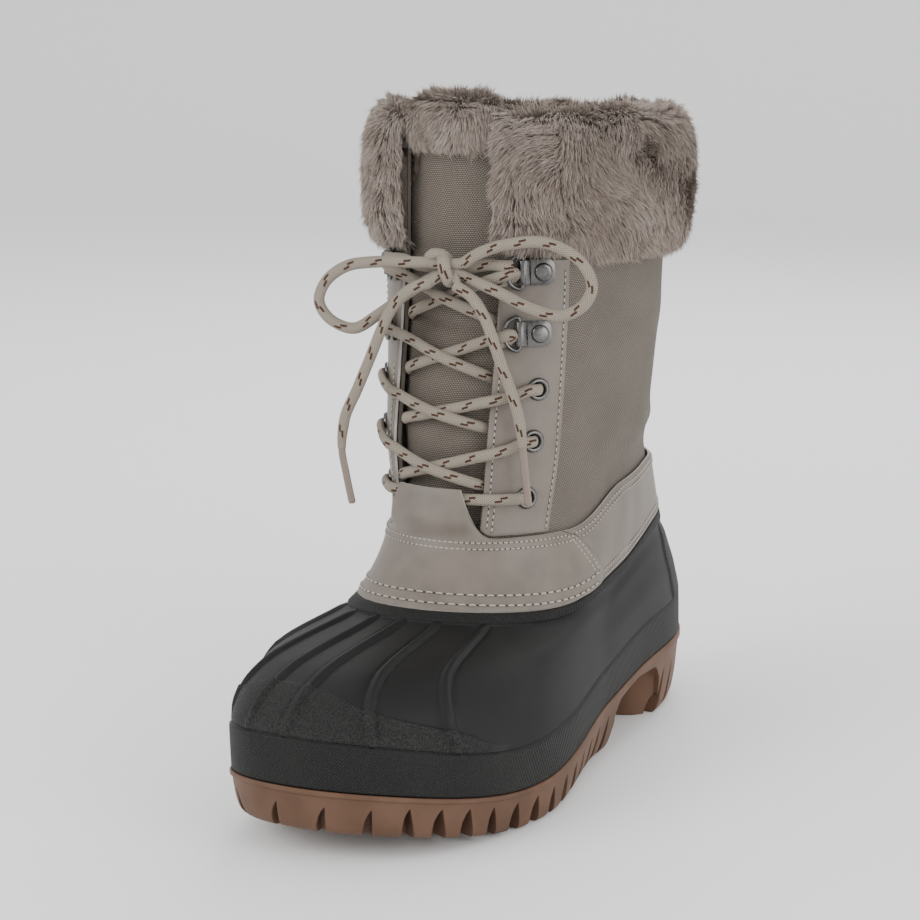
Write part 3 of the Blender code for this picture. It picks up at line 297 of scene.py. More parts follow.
# %% A skin with a thickness
def skin(name, outer, inner, finish, edge_finish, stands_for=(), fields=None):
    """A wall between two grids. Its rim is closed, and takes the finish of a cut edge."""
    outer, inner = np.asarray(outer, float), np.asarray(inner, float)
    rows, columns = outer.shape[:2]
    size = rows * columns
    at = np.arange(size).reshape(rows, columns)
    strips = [(at[0, :-1], at[0, 1:]), (at[-1, 1:], at[-1, :-1]), (at[1:, 0], at[:-1, 0]), (at[:-1, -1], at[1:, -1])]
    edges = np.concatenate([np.stack([b, a, a + size, b + size], -1) for a, b in strips])
    faces = [grid_faces(rows, columns), grid_faces(rows, columns, size, turned=True), edges]
    kinds = np.concatenate([np.zeros(len(faces[0]) + len(faces[1]), int), np.ones(len(edges), int)])
    flat = lambda values: values.reshape((size,) + values.shape[2:])
    fields = {field: np.concatenate([flat(values)] * 2) for field, values in (fields or {}).items()}
    return piece(name, np.concatenate([outer.reshape(-1, 3), inner.reshape(-1, 3)]), faces,
                 [finish, edge_finish], stands_for, fields, kinds=kinds)


def lay_of(grid):
    """How far each point of a grid is along its row and up its column, in millimetres, for a weave to follow."""
    along = np.zeros(grid.shape[:2])
    along[:, 1:] = np.cumsum(np.linalg.norm(np.diff(grid, axis=1), axis=2), axis=1)
    up = np.zeros(grid.shape[:2])
    up[1:] = np.cumsum(np.linalg.norm(np.diff(grid, axis=0), axis=2), axis=0)
    middle = along.shape[1] // 2
    return np.stack([along - along[:, middle:middle + 1], up, np.zeros(up.shape)], -1)


print("a skin has two grids and a strip along each of its four edges")


# %% [markdown]
# ## Finishes
#
# A finish is a material: a principled shader whose colour, roughness and bump come from a few nodes.
# The small class below adds nodes by name and joins them, so that each finish reads like a recipe.
# All its sizes are millimetres, because the coordinates are scaled up once at the start.


# %% A recipe for a finish
class Finish:
    def __init__(self, name, colour, roughness, **sockets):
        self.material = bpy.data.materials.new(name)
        self.material.use_nodes = True
        self.tree = self.material.node_tree
        self.shader = self.tree.nodes["Principled BSDF"]
        self.material.diffuse_color = (*colour, 1.0)
        self.set(**{"Base Color": (*colour, 1.0), "Roughness": roughness})
        self.set(**{socket.replace("_", " "): value for socket, value in sockets.items()})

    def set(self, **sockets):
        for socket, value in sockets.items():
            self.feed(self.shader.inputs[socket], value)
        return self

    def feed(self, socket, value):
        if isinstance(value, bpy.types.NodeSocket):
            self.tree.links.new(value, socket)
        else:
            socket.default_value = value

    def add(self, kind, inputs, **settings):
        node = self.tree.nodes.new("ShaderNode" + kind)
        for key, value in settings.items():
            setattr(node, key, value)
        for key, value in inputs.items():
            self.feed(node.inputs[key], value)
        return node

    def math(self, operation, a, b=0.0):
        return self.add("Math", {0: a, 1: b}, operation=operation).outputs[0]

    def plus(self, a, b):
        return self.math("ADD", a, b)

    def times(self, a, b):
        return self.math("MULTIPLY", a, b)

    def phase(self, distance, pitch, shift=0.0):
        """Where in its repeat a distance is, from -0.5 to 0.5; shift is a share of the pitch."""
        repeats = self.math("DIVIDE", distance, pitch)
        return self.math("SUBTRACT", self.math("FRACT", self.plus(repeats, shift + 0.5)), 0.5)

    def stripes(self, along, up, slope, pitch):
        """A wave from -1 to 1 along the first distance, leaning by slope with the second."""
        return self.math("SINE", self.times(self.plus(along, self.times(up, slope)), 2 * math.pi / pitch))

    def place(self):
        """Millimetres on the object."""
        metres = self.add("TexCoord", {}).outputs["Object"]
        return self.add("VectorMath", {0: metres, "Scale": 1 / MM}, operation="SCALE").outputs[0]

    def field(self, name):
        return self.add("Attribute", {}, attribute_name=name).outputs["Fac"]

    def lay(self):
        """The two distances that a piece carries, along it and up it."""
        parts = self.add("SeparateXYZ", {0: self.add("Attribute", {}, attribute_name="lay").outputs["Vector"]})
        return parts.outputs[0], parts.outputs[1]

    def noise(self, vector, size, detail=2.0, rough=0.5):
        inputs = {"Vector": vector, "Scale": 1.0 / size, "Detail": detail, "Roughness": rough}
        return self.add("TexNoise", inputs).outputs["Fac"]

    def cells(self, vector, size, random=1.0):
        inputs = {"Vector": vector, "Scale": 1.0 / size, "Randomness": random}
        return self.add("TexVoronoi", inputs).outputs["Distance"]

    def between(self, value, low, high, out_low=0.0, out_high=1.0):
        inputs = {"Value": value, "From Min": low, "From Max": high, "To Min": out_low, "To Max": out_high}
        return self.add("MapRange", inputs, interpolation_type="SMOOTHSTEP").outputs["Result"]

    def mix(self, share, first, second):
        colours = [(*c, 1.0) if isinstance(c, tuple) and len(c) == 3 else c for c in (first, second)]
        return self.add("Mix", {0: share, 6: colours[0], 7: colours[1]}, data_type="RGBA").outputs[2]

    def bump(self, height, depth, normal=None):
        """height is from 0 to 1, and depth is in millimetres."""
        inputs = {"Height": height, "Distance": depth * MM, "Strength": 1.0}
        if normal is not None:
            inputs["Normal"] = normal
        return self.add("Bump", inputs).outputs[0]


print("a finish can use:", ", ".join(name for name in vars(Finish) if name[0] != "_"))

# %% [markdown]
# ### The leather
#
# The leather is smooth, with a fine grain and soft cloudy tones, and its cut edge is paler and fibrous.
# Small cells make the grain and stretched noise the wrinkles. Both are bump, because real ones are too fine to model.


# %% Smooth leather with a fine grain
def leather_finish(name, colour):
    f = Finish(name, colour, 0.5, Specular_IOR_Level=0.4)
    place = f.place()
    grain = f.cells(place, 0.7)
    cloud = f.noise(place, 14.0, 3.0)
    dark = tuple(0.86 * c for c in colour)
    light = tuple(1.08 * c for c in colour)
    squeezed = f.add("VectorMath", {0: place, 1: (1.0, 1.0, 0.25)}, operation="MULTIPLY").outputs[0]
    wrinkle = f.noise(squeezed, 2.6, 3.0)
    f.set(**{"Base Color": f.mix(f.between(cloud, 0.3, 0.7), dark, light),
             "Roughness": f.between(cloud, 0.2, 0.8, 0.42, 0.56),
             "Normal": f.bump(wrinkle, 0.10, f.bump(grain, 0.05))})
    return f.material


LEATHER_COLOUR = (0.158, 0.134, 0.112)
leather = leather_finish("taupe_leather", LEATHER_COLOUR)
cut_edge = Finish("cut_leather_edge", (0.50, 0.47, 0.43), 0.8)
fibres = cut_edge.noise(cut_edge.place(), 0.8, 3.0)
cut_edge.set(**{"Base Color": cut_edge.mix(fibres, (0.36, 0.33, 0.30), (0.62, 0.59, 0.55))})
cut_edge = cut_edge.material
print("leather and its cut edge")

# %% [markdown]
# ### The nylon canvas
#
# Canvas is a plain weave: fat yarns pass over and under each other, and every row is half a step from the last.
# An image of cloth would repeat, so a formula makes the weave: each yarn shows as a small oval dome, and the gaps
# between domes are painted dark, as painted shade.
# The cloth's own distances drive the formula, so that the weave bends with the shaft.


# %% The canvas
def canvas_finish(name, dark, light, yarn_wide=1.04, yarn_tall=0.70):
    f = Finish(name, light, 0.78, Specular_IOR_Level=0.3)
    along, up = f.lay()
    rows = f.math("DIVIDE", up, yarn_tall)
    row = f.math("FLOOR", rows)
    shift = f.times(f.math("MODULO", row, 2.0), 0.5)
    columns = f.plus(f.math("DIVIDE", along, yarn_wide), shift)
    u = f.math("SUBTRACT", f.math("FRACT", columns), 0.5)
    v = f.math("SUBTRACT", f.math("FRACT", rows), 0.5)
    squared = lambda value: f.math("POWER", f.math("ABSOLUTE", f.times(value, 2.0)), 2.0)
    reach = f.plus(squared(u), squared(v))
    dome = f.math("MAXIMUM", f.math("SUBTRACT", 1.0, reach), 0.0)
    place = f.place()
    cloud = f.noise(place, 22.0, 4.0)
    yarn = f.mix(f.between(f.noise(place, 0.55, 2.0), 0.3, 0.7),
                 tuple(0.9 * c for c in light), tuple(1.1 * c for c in light))
    # Painted shade: the colour falls to the dark colour in the gaps between the yarns' domes.
    colour = f.mix(f.between(dome, 0.0, 0.75), dark, yarn)
    f.set(**{"Base Color": f.mix(f.between(cloud, 0.35, 0.75, 0.0, 0.22), colour, dark),
             "Normal": f.bump(f.math("POWER", dome, 0.6), 0.28)})
    return f.material


# The first colour is painted shade in the weave's gaps, and also the darker side of the random cloud.
canvas = canvas_finish("taupe_canvas", (0.062, 0.051, 0.042), (0.226, 0.196, 0.167))
tongue_canvas = canvas_finish("tongue_canvas", (0.056, 0.046, 0.037), (0.222, 0.190, 0.158), 1.12, 0.78)
canvas_edge = Finish("canvas_edge", (0.105, 0.087, 0.072), 0.9).material
print("canvas for the shaft and the tongue")


# %% [markdown]
# ### The rubbers
#
# The shell and the sole are moulded, so their textures are cut in the mould: small pits on the toe cap,
# crossed lines at the toe's foxing, slanted ribs along its sides.
# Three numbers on each point say where those textures belong, and the finish mixes their bumps and paints a highlight
# on their raised tops.

# %% Black rubber with its moulded textures
def black_rubber_finish():
    f = Finish("black_rubber", (0.012, 0.012, 0.012), 0.56, Specular_IOR_Level=0.22)
    place = f.place()
    along, up = f.lay()
    pebbled, ribbed, crossed = f.field("pebbled"), f.field("ribbed"), f.field("crossed")
    pits = f.between(f.cells(place, 0.66, random=0.9), 0.1, 0.62)
    ribs = f.between(f.stripes(along, up, 0.42, 1.45), -0.9, 0.9)
    net = f.times(f.between(f.stripes(along, up, 0.9, 1.25), -1.0, 0.7),
                  f.between(f.stripes(along, up, -0.9, 1.25), -1.0, 0.7))
    plain = f.noise(place, 0.35, 2.0)
    height = f.plus(f.times(pits, pebbled), f.plus(f.times(ribs, ribbed), f.times(net, crossed)))
    worn = f.between(f.noise(place, 30.0, 3.0), 0.35, 0.75)
    base = f.mix(worn, (0.0080, 0.0080, 0.0078), (0.0115, 0.0115, 0.0110))
    textured = f.math("MINIMUM", f.plus(f.plus(pebbled, ribbed), crossed), 1.0)
    # Painted highlight: the base colour is lighter on the raised tops of the moulded textures, and a little lighter
    # all over the pebbled cap.
    painted_shine = f.plus(f.times(height, f.between(pebbled, 0.0, 1.0, 0.8, 0.22)), f.times(pebbled, 0.24))
    f.set(**{"Base Color": f.mix(painted_shine, base, (0.028, 0.028, 0.027)),
             "Roughness": f.between(textured, 0.0, 1.0, 0.54, 0.62),
             "Normal": f.bump(height, 0.42, f.bump(plain, 0.012))})
    return f.material


black_rubber = black_rubber_finish()
print("black rubber:", len(black_rubber.node_tree.nodes), "nodes")


# %% Gum rubber
def gum_finish():
    f = Finish("gum_rubber", (0.115, 0.062, 0.040), 0.58, Specular_IOR_Level=0.25)
    place = f.place()
    cloud = f.noise(place, 18.0, 3.0)
    soft = f.add("Bevel", {"Radius": 0.7 * MM}, samples=4).outputs[0]
    f.set(**{"Base Color": f.mix(f.between(cloud, 0.3, 0.7), (0.088, 0.046, 0.027), (0.120, 0.064, 0.039)),
             "Normal": f.bump(f.noise(place, 0.6, 2.0), 0.02, soft)})
    return f.material


gum = gum_finish()
print("gum rubber:", len(gum.node_tree.nodes), "nodes")


# %% [markdown]
# ### Metal, thread, lining and lace
#
# The hardware is gunmetal: dark, smooth and slightly scratched.
# The lace is a flat-oval braid in a light beige, with pairs of brown flecks where a brown yarn comes to the surface.
# Its finish draws the braid's ribs along the cord, with painted shade in the grooves between them, and each fleck as
# a short slanted dash, on a lattice.

# %% Metal, thread and lining
def metal_finish():
    f = Finish("gunmetal", (0.118, 0.116, 0.113), 0.28, Metallic=1.0)
    place = f.place()
    f.set(**{"Roughness": f.between(f.noise(place, 1.2, 4.0), 0.3, 0.8, 0.22, 0.40),
             "Normal": f.bump(f.noise(place, 0.5, 3.0), 0.012)})
    return f.material


gunmetal = metal_finish()
thread = Finish("light_thread", (0.40, 0.36, 0.31), 0.8).material
# Painted shade: a near-black colour for flat discs where each needle hole's shade would be.
painted_hole_shade = Finish("painted_hole_shade", (0.020, 0.016, 0.013), 0.9).material
fleece = Finish("fleece_lining", (0.16, 0.125, 0.10), 0.95)
fleece.set(Normal=fleece.bump(fleece.noise(fleece.place(), 1.5, 4.0), 1.2))
patches = fleece.noise(fleece.place(), 3.0, 3.0)
fleece.set(**{"Base Color": fleece.mix(patches, (0.10, 0.077, 0.062), (0.20, 0.16, 0.132))})
fleece = fleece.material
print("gunmetal, thread, needle holes and fleece")


# %% The lace
LACE_ROUND = 12.4         # the distance round the cord, in millimetres
FLECK_PITCH, FLECK_LONG, FLECK_WIDE = 12.0, 3.0, 0.8


def lace_finish():
    f = Finish("flecked_lace", (0.40, 0.35, 0.285), 0.82, Specular_IOR_Level=0.25)
    along, around = f.lay()
    braid = f.math("MAXIMUM", f.stripes(around, along, 0.55, 0.78), f.stripes(around, along, -0.55, 0.78))
    marks = None
    for shift in (0.0, 0.5):
        for step_along, step_around in ((-1.1, 0.62), (1.1, -0.62)):
            s = f.phase(along, FLECK_PITCH, shift - step_along / FLECK_PITCH)
            w = f.phase(around, LACE_ROUND, shift - 0.25 - step_around / LACE_ROUND)
            s, w = f.times(s, FLECK_PITCH), f.times(w, LACE_ROUND)
            tilted = f.plus(w, f.times(s, 0.12))
            mark = f.times(f.math("LESS_THAN", f.math("ABSOLUTE", s), FLECK_LONG / 2),
                           f.math("LESS_THAN", f.math("ABSOLUTE", tilted), FLECK_WIDE / 2))
            marks = mark if marks is None else f.math("MAXIMUM", marks, mark)
    # Painted shade: the yarn colour is darker in the grooves between the braid's ribs.
    yarn = f.mix(f.between(braid, -0.6, 0.8), (0.150, 0.127, 0.100), (0.325, 0.285, 0.232))
    f.set(**{"Base Color": f.mix(marks, yarn, (0.062, 0.028, 0.017)),
             "Normal": f.bump(f.between(braid, -0.8, 1.0), 0.22)})
    return f.material


lace_cord = lace_finish()
aglet_film = Finish("aglet_film", (0.19, 0.145, 0.115), 0.28, Specular_IOR_Level=0.5).material
print("lace and aglet")

# %% [markdown]
# ## The lace
#
# The lace starts under the leather tab, crosses the tongue four times on its way up, and ends in a bow.
# Each strand comes out from under one edge of the throat and goes over the other edge into its eyelet or ring.
# A path is given by a few points: the distance from the throat's middle, the level, and how far it stands out.

# %% Where the lacing goes
THROAT_MID, THROAT_HALF = -2.0, 22.0
EYELET_ARC, RIVET_ARC, BAR_ARC = 40.5, 38.8, 31.3
EYELET_LEVELS, RING_LEVELS = (4.75, 5.55, 6.30), (7.12, 8.03)
EYELET_HOLE, EYELET_BRIM = 2.5, 4.6
LACE_WIDE, LACE_THICK, LEATHER, EYESTAY_CLEAR = 4.6, 3.2, 1.6, 0.65


def shaft_outward(level):
    """The cloth dips under the leather, and further under the rubber rim."""
    level = np.asarray(level, float)
    return -2.75 * (1 - smooth((level - 4.36) / 1.2)) - 1.3 * (1 - smooth((level - BAND) / 0.12))


def leather_top(level):
    """How far out the eyestay's face is."""
    return float(shaft_outward(level)) + EYESTAY_CLEAR + LEATHER


print("the lace passes levels", EYELET_LEVELS + RING_LEVELS)


# %% A path through points
def even(path, count):
    """A path with points at even distances."""
    done = run_of(path)
    return np.stack([np.interp(np.linspace(0, done[-1], count), done, path[:, k]) for k in range(path.shape[1])], -1)


def through(points, count, rounds=0):
    """A smooth path through a few points with even steps, its bends eased a number of times."""
    points = np.asarray(points, float)
    run = run_of(points)
    fine = np.linspace(0, run[-1], 12 * count)
    path = even(np.stack([pchip(run, points[:, k], fine) for k in range(points.shape[1])], -1), count)
    for _ in range(rounds):
        path[1:-1] = 0.25 * path[:-2] + 0.5 * path[1:-1] + 0.25 * path[2:]
    return path


print("steps of an even path:", np.round(np.diff(run_of(through([(0, 0), (10, 4), (20, 6)], 5))), 1), "mm")

# %% A cord along a path
CORD_SIDES = 12


def cord_mesh(path, side, wide, thick, start=0.0):
    """Points, faces and lay of an oval cord; side is its wide direction."""
    along = np.gradient(path, axis=0)
    along /= np.linalg.norm(along, axis=1, keepdims=True)
    side = side - (side * along).sum(1, keepdims=True) * along
    side /= np.linalg.norm(side, axis=1, keepdims=True)
    up = np.cross(along, side)
    angle = np.linspace(0, 2 * math.pi, CORD_SIDES + 1)
    wide, thick = np.broadcast_to(wide, len(path)), np.broadcast_to(thick, len(path))
    rings = (path[:, None] + side[:, None] * (np.cos(angle)[None] * wide[:, None] / 2)[..., None]
             + up[:, None] * (np.sin(angle)[None] * thick[:, None] / 2)[..., None])
    done = start + run_of(path)
    lay = np.stack(np.broadcast_arrays(done[:, None], (angle / (2 * math.pi) * LACE_ROUND)[None], 0.0), -1)
    return rings.reshape(-1, 3), grid_faces(len(path), CORD_SIDES + 1), lay.reshape(-1, 3)


def cord_piece(name, strands, stands_for):
    """One piece from several (path, side, wide, thick, start)."""
    points, faces, lays, first = [], [], [], 0
    for path, side, wide, thick, start in strands:
        p, f, lay = cord_mesh(path, side, wide, thick, start=start)
        points.append(p)
        faces.append(f + first)
        lays.append(lay)
        first += len(p)
    return piece(name, np.concatenate(points), [np.concatenate(faces)], lace_cord, stands_for,
                 {"lay": np.concatenate(lays)}, sharp=0)


print("a cord has", CORD_SIDES, "sides")


# %% The four crossings and the bottom bar
LEVEL_TALL = 25.0         # about how tall one level is at the throat, in millimetres


def strand(points, count, start):
    """A strand of lace through (distance from the throat's middle, level, outward)."""
    path = through([(a, level * LEVEL_TALL, o) for a, level, o in points], count, 4)
    arc, level, out = path[:, 0] + THROAT_MID, path[:, 1] / LEVEL_TALL, path[:, 2]
    turn = turn_at(level, arc)
    line = S(level, turn, out)
    return line, np.cross(np.gradient(line, axis=0), normal(level, turn)), LACE_WIDE, LACE_THICK, start


def crossing(side, low, high, at_ring, over, start):
    """A strand from under one edge of the throat to the other side's eyelet or ring, and down into it."""
    first, end, top = low + 0.22, (BAR_ARC - 3.3 if at_ring else EYELET_ARC), leather_top(high)
    level = lambda away: first + (high - first) * (away + 18.5) / (end + 18.5)
    lift = 3.0 if over else 0.0
    points = [(-22.5, level(-22.5), -3.2), (-20.5, level(-20.5), -1.9), (-17.5, level(-17.5), -0.5),
              (-10, level(-10), -0.3 + 0.6 * lift), (0, level(0), lift), (10, level(10), 0.3 + 0.6 * lift),
              (17.5, level(17.5), top * 0.5 + (2.6 if at_ring else 1.2)),
              (22.0, level(22.0), top + (4.4 if at_ring else 2.0))]
    if at_ring:
        points += [(25, level(25), top + 5.4), (27.4, high, top + 5.0), (29.0, high - 0.02, top + 3.2),
                   (27.6, high - 0.08, top + 1.7), (22.5, high - 0.16, top + 1.5)]
    else:
        points += [(31, level(31), top + 2.3), (37.0, high, top + 2.7), (39.6, high, top + 2.2),
                   (41.0, high, top + 0.6), (41.2, high, top - 2.6)]
    return strand([(side * a, lv, o) for a, lv, o in points], 96, start)


STATIONS = [(level, False) for level in EYELET_LEVELS] + [(level, True) for level in RING_LEVELS]
lace_pieces = []
for k in range(len(STATIONS) - 1):
    (low, _), (high, at_ring) = STATIONS[k], STATIONS[k + 1]
    both = [crossing(1, low, high, at_ring, False, 3.7 * k), crossing(-1, low, high, at_ring, True, 5.1 * k + 4.0)]
    lace_pieces.append(cord_piece(f"crossed_lace_{k + 1}", both, [f"lace_crossing_{k + 1}"]))
bar_top = leather_top(EYELET_LEVELS[0])
bar_half = [(12, -0.6), (16.5, -0.2), (22.5, bar_top + 2.0), (32, bar_top + 2.2), (37.5, bar_top + 2.6),
            (39.8, bar_top + 2.1), (41.0, bar_top + 0.5), (41.2, bar_top - 2.6)]
bar_path = [(-a, o) for a, o in bar_half[::-1]] + [(0, -0.7)] + bar_half
bar = strand([(a, EYELET_LEVELS[0], o) for a, o in bar_path], 130, 2.0)
lace_pieces.append(cord_piece("lace_under_tab", [bar], ["lace_bar"]))
print("crossings and bar:", triangles(*lace_pieces), "triangles")

# %% [markdown]
# ### The bow
#
# The bow's two loops and two ends are free cord, and the length of each is printed.
# Their routes are short tables: along the front, up, and forward of the knot, in millimetres.
# A loop leaves the knot, bulges out and comes back into it. An end hangs down and stops in a plastic tip, the aglet.

# %% The bow's routes
BOW_TURN = math.radians(10)
ALONG = np.array([math.cos(BOW_TURN), math.sin(BOW_TURN), 0.0])
FORWARD = np.array([math.sin(BOW_TURN), -math.cos(BOW_TURN), 0.0])
UPWARD = np.array([0.0, 0.0, 1.0])
KNOT_LEVEL, KNOT_OUT, KNOT_ALONG = 8.05, 9.0, 5.0
KNOT = S(np.array(KNOT_LEVEL), turn_at(KNOT_LEVEL, THROAT_MID), np.array(KNOT_OUT)) + ALONG * KNOT_ALONG
BOW = {
    "loop_inner": ((-7.4, 2.2, 0.4), (-20, 2.2, 1.0), (-38, 0.8, 1.0), (-51, -6.5, 1.0), (-54.5, -14.5, 1.0),
                   (-50, -22, 0.5), (-40.5, -25.5, 0.0), (-29.5, -19.5, -0.6), (-18, -11, -1.8), (-8.2, -4.6, -2.6)),
    "loop_outer": ((7.4, 2.6, 1.0), (14, 6.8, 2.2), (26.5, 11, 3.8), (39, 12.5, 4.2), (50, 9.5, 4.0),
                   (58, 3.0, 3.4), (60.5, -4.0, 2.6), (57, -11.5, 2.6), (47, -16, 3.4), (35, -13, 4.2),
                   (22, -7.4, 3.8), (14, -4.8, 2.0), (8.2, -3.4, -0.6)),
    "end_inner": ((-5.4, -5.0, 3.8), (-12.5, -7.5, 4.4), (-21, -15, 4.2), (-26, -24, 3.6), (-31.5, -36, 2.6),
                  (-38, -50, 1.6), (-44, -63, 0.8), (-45.4, -74, 0.4), (-43.6, -85, 0.2), (-41, -97, 0.2)),
    "end_outer": ((4.8, -5.8, 3.6), (11.5, -9.5, 4.4), (16.8, -15.8, 5.4), (20.4, -23.5, 5.8), (24.2, -35.5, 4.6),
                  (28.4, -47.5, 3.2), (31.6, -58, 3.4), (33, -68, 3.6), (34, -78, 3.6), (35.6, -91.5, 3.6)),
}
CORD_WIDE, CORD_THICK, AGLET_LONG, AGLET_WIDE, AGLET_THICK = 4.7, 3.7, 24.0, 3.2, 2.2


def bow_place(points):
    points = np.asarray(points, float)
    return KNOT + points[:, :1] * ALONG + points[:, 1:2] * UPWARD + points[:, 2:] * FORWARD


def cut_at(path, distance):
    """The path up to a distance along it, and the rest."""
    done = run_of(path)
    k = int(np.searchsorted(done, distance))
    return path[:k + 1], path[k:]


print("the knot is", round(float(KNOT[2])), "mm up")


# %% The two loops
for name in ("loop_inner", "loop_outer"):
    path = bow_place(through(BOW[name], 150, 6))
    facing = np.cross(np.gradient(path, axis=0), FORWARD)
    start = 3.0 if name == "loop_outer" else 8.5
    made = cord_piece("bow_" + name, [(path, facing, CORD_WIDE, CORD_THICK, start)], ["lace_" + name])
    to_boot(path[0])
    length_of(path) * MM
    to_boot(path)
    print(made.name, round(length_of(path)), "mm")

# %% The two ends and their aglets
for name in ("end_inner", "end_outer"):
    route = bow_place(through(BOW[name], 130, 6))
    soft, tip = cut_at(route, length_of(route) - AGLET_LONG)
    facing = np.cross(np.gradient(route, axis=0), FORWARD)
    narrow = 1 - 0.22 * smooth((np.arange(len(soft)) - len(soft) + 14) / 14)
    blunt = np.where(np.arange(len(tip)) == len(tip) - 1, 0.75, 1.0)
    points, faces, _ = cord_mesh(tip, facing[-len(tip):], AGLET_WIDE * blunt, AGLET_THICK * blunt)
    last = np.arange(len(points) - CORD_SIDES - 1, len(points) - 1)
    caps = np.stack([last[1:-1], last[2:], np.full(len(last) - 2, last[0])], -1)
    aglet = piece("aglet_" + name[4:], points, [faces, caps], aglet_film, sharp=50)
    cord = (soft, facing[:len(soft)], CORD_WIDE * narrow, CORD_THICK * narrow, 1.5)
    made = cord_piece("bow_" + name, [cord], ["lace_" + name])
    to_boot(soft[0])
    length_of(soft) * MM
    to_boot(soft)
    print(made.name, round(length_of(soft)), "mm and an aglet of", AGLET_LONG, "mm")

# %% The knot
WRAP = ((-3.0, 3.6, -3.0), (-1.6, 4.9, -0.6), (-0.4, 3.6, 2.4), (0.5, 0.0, 3.7), (1.4, -3.8, 2.6),
        (1.6, -5.6, 0.2), (0.8, -4.4, -2.6))
BUMP = ((-7.6, 1.2, -1.6), (-7.4, 4.0, -0.2), (-4.6, 6.0, 0.9), (-1.6, 5.6, 0.6), (0.6, 3.4, -0.8))
wrap, bump = bow_place(through(WRAP, 40, 3)), bow_place(through(BUMP, 30, 2))
inside = [bow_place(through(points, 24, 2)) for points in (
    [(-9.4, 2.3, 0.5), (-4.0, 2.0, 0.4), (2.0, 2.0, 0.6), (8.4, 3.0, 1.2)],
    [(-9.2, -5.2, -2.4), (-4.0, -2.6, -0.8), (2.0, -1.6, 0.2), (6.4, -6.8, 3.7)],
    [(-6.4, -5.4, 3.9), (-2.0, -2.6, 1.6), (3.0, -1.4, 0.4), (9.6, -3.7, -0.8)])]
knot_strands = [(wrap, np.tile(ALONG, (40, 1)), 5.4, 3.6, 1.0),
                (bump, np.cross(np.gradient(bump, axis=0), FORWARD), 4.4, 3.6, 6.0)]
knot_strands += [(path, np.tile(UPWARD, (24, 1)), 4.4, 3.4, 5.0 + k) for k, path in enumerate(inside)]
for side in (1, -1):
    level, start = 8.13, leather_top(8.1)
    from_ring = ((27.5, start + 4.6), (24.5, start + 5.4), (20.0, 4.9))
    lead = [S(np.array(level), turn_at(level, THROAT_MID + side * away), np.array(o)) for away, o in from_ring]
    lead += list(bow_place([(side * 9.0 - (1 if side > 0 else 3), 0.3, -4.2), (side * 2.0, 0.0, -2.0)]))
    path = through(lead, 40, 3)
    knot_strands.append((path, np.tile(UPWARD, (40, 1)), LACE_WIDE, LACE_THICK, 2.5 * side + 3))
knot = cord_piece("bow_knot", knot_strands, ["lace_knot"])
print("knot:", triangles(knot), "triangles")

# %% [markdown]
# ## The gum sole
#
# The sole is one moulded block: an upright side wall under a small lip, cut by lugs, with an arch under the waist.
# Its wall is a stack of loops between the welt and the tread, and the gaps between the lugs are cut by a Boolean.
# A lug's gap is upright behind and curved in front, and runs out to a point at its top.

# %% The sole's wall
SIDE_WALL = (             # share of the height from the welt, share of the way to the tread's outline, outward
    (0.00, 0.00, 0.6), (0.10, 0.00, 0.6), (0.13, 0.04, 0.0), (0.55, 0.30, 0.4), (0.86, 0.66, 0.6), (1.00, 1.00, 0.0))


def even_turns(count):
    """Turns spaced evenly round the welt."""
    loop = surface(GUM, ROUND)
    run = run_of(loop)
    return np.interp(np.linspace(0, run[-1], count + 1)[:-1], run, ROUND)


def level_out(loop, outward):
    """A closed loop moved outwards in plan, its heights kept."""
    along = np.roll(loop, -1, axis=0) - np.roll(loop, 1, axis=0)
    side = np.stack([along[:, 1], -along[:, 0]], -1)
    side /= np.linalg.norm(side, axis=1, keepdims=True)
    moved = loop.copy()
    moved[:, :2] += side * outward
    return moved


def stacked(rows):
    """Points and faces of a solid through closed loops, its ends filled by rungs."""
    rows = np.asarray(rows, float)
    count, columns = rows.shape[:2]
    at = np.arange(count * columns).reshape(count, columns)
    nxt = np.roll(at, -1, axis=1)
    walls = np.stack([at[:-1], nxt[:-1], nxt[1:], at[1:]], -1).reshape(-1, 4)
    j = np.arange(1, columns // 2 - 1)
    faces = [walls]
    for i, order in ((0, -1), (count - 1, 1)):
        rungs = np.stack([at[i, j], at[i, j + 1], at[i, -j - 1], at[i, -j]], -1)
        half = columns // 2
        ends = np.array([[at[i, 0], at[i, 1], at[i, -1]], [at[i, half - 1], at[i, half], at[i, half + 1]]])
        faces += [rungs[:, ::order], ends[:, ::order]]
    return rows.reshape(-1, 3), faces


welt_turns = even_turns(220)
welt, tread = surface(GUM, welt_turns), loop_of(TREAD, welt_turns)
share_z = np.array([0, 0.03, 0.085, 0.10, 0.115, 0.13, 0.2, 0.3, 0.42,
                    0.55, 0.66, 0.76, 0.84, 0.90, 0.945, 0.975, 0.99, 1.0])
share_xy = np.interp(share_z, [row[0] for row in SIDE_WALL], [row[1] for row in SIDE_WALL])
curved_in = by_table((0.0, 0.13, 0.55, 0.86, 0.97, 1.0), (0.0, 0.04, 0.30, 0.60, 0.80, 1.0), share_z)
share_xy = np.where(share_z > 0.6, curved_in, share_xy)
outward = np.interp(share_z, [row[0] for row in SIDE_WALL], [row[2] for row in SIDE_WALL]) - 0.35 * (share_z == 0)
sole_points, sole_faces = stacked([level_out(welt + (tread - welt) * np.array([xy, xy, z]), o)
                                   for z, xy, o in list(zip(share_z, share_xy, outward))[::-1]])
sole = piece("moulded_sole", sole_points, sole_faces, gum, ["outsole"], sharp=35)
print("the sole's block:", triangles(sole), "triangles")


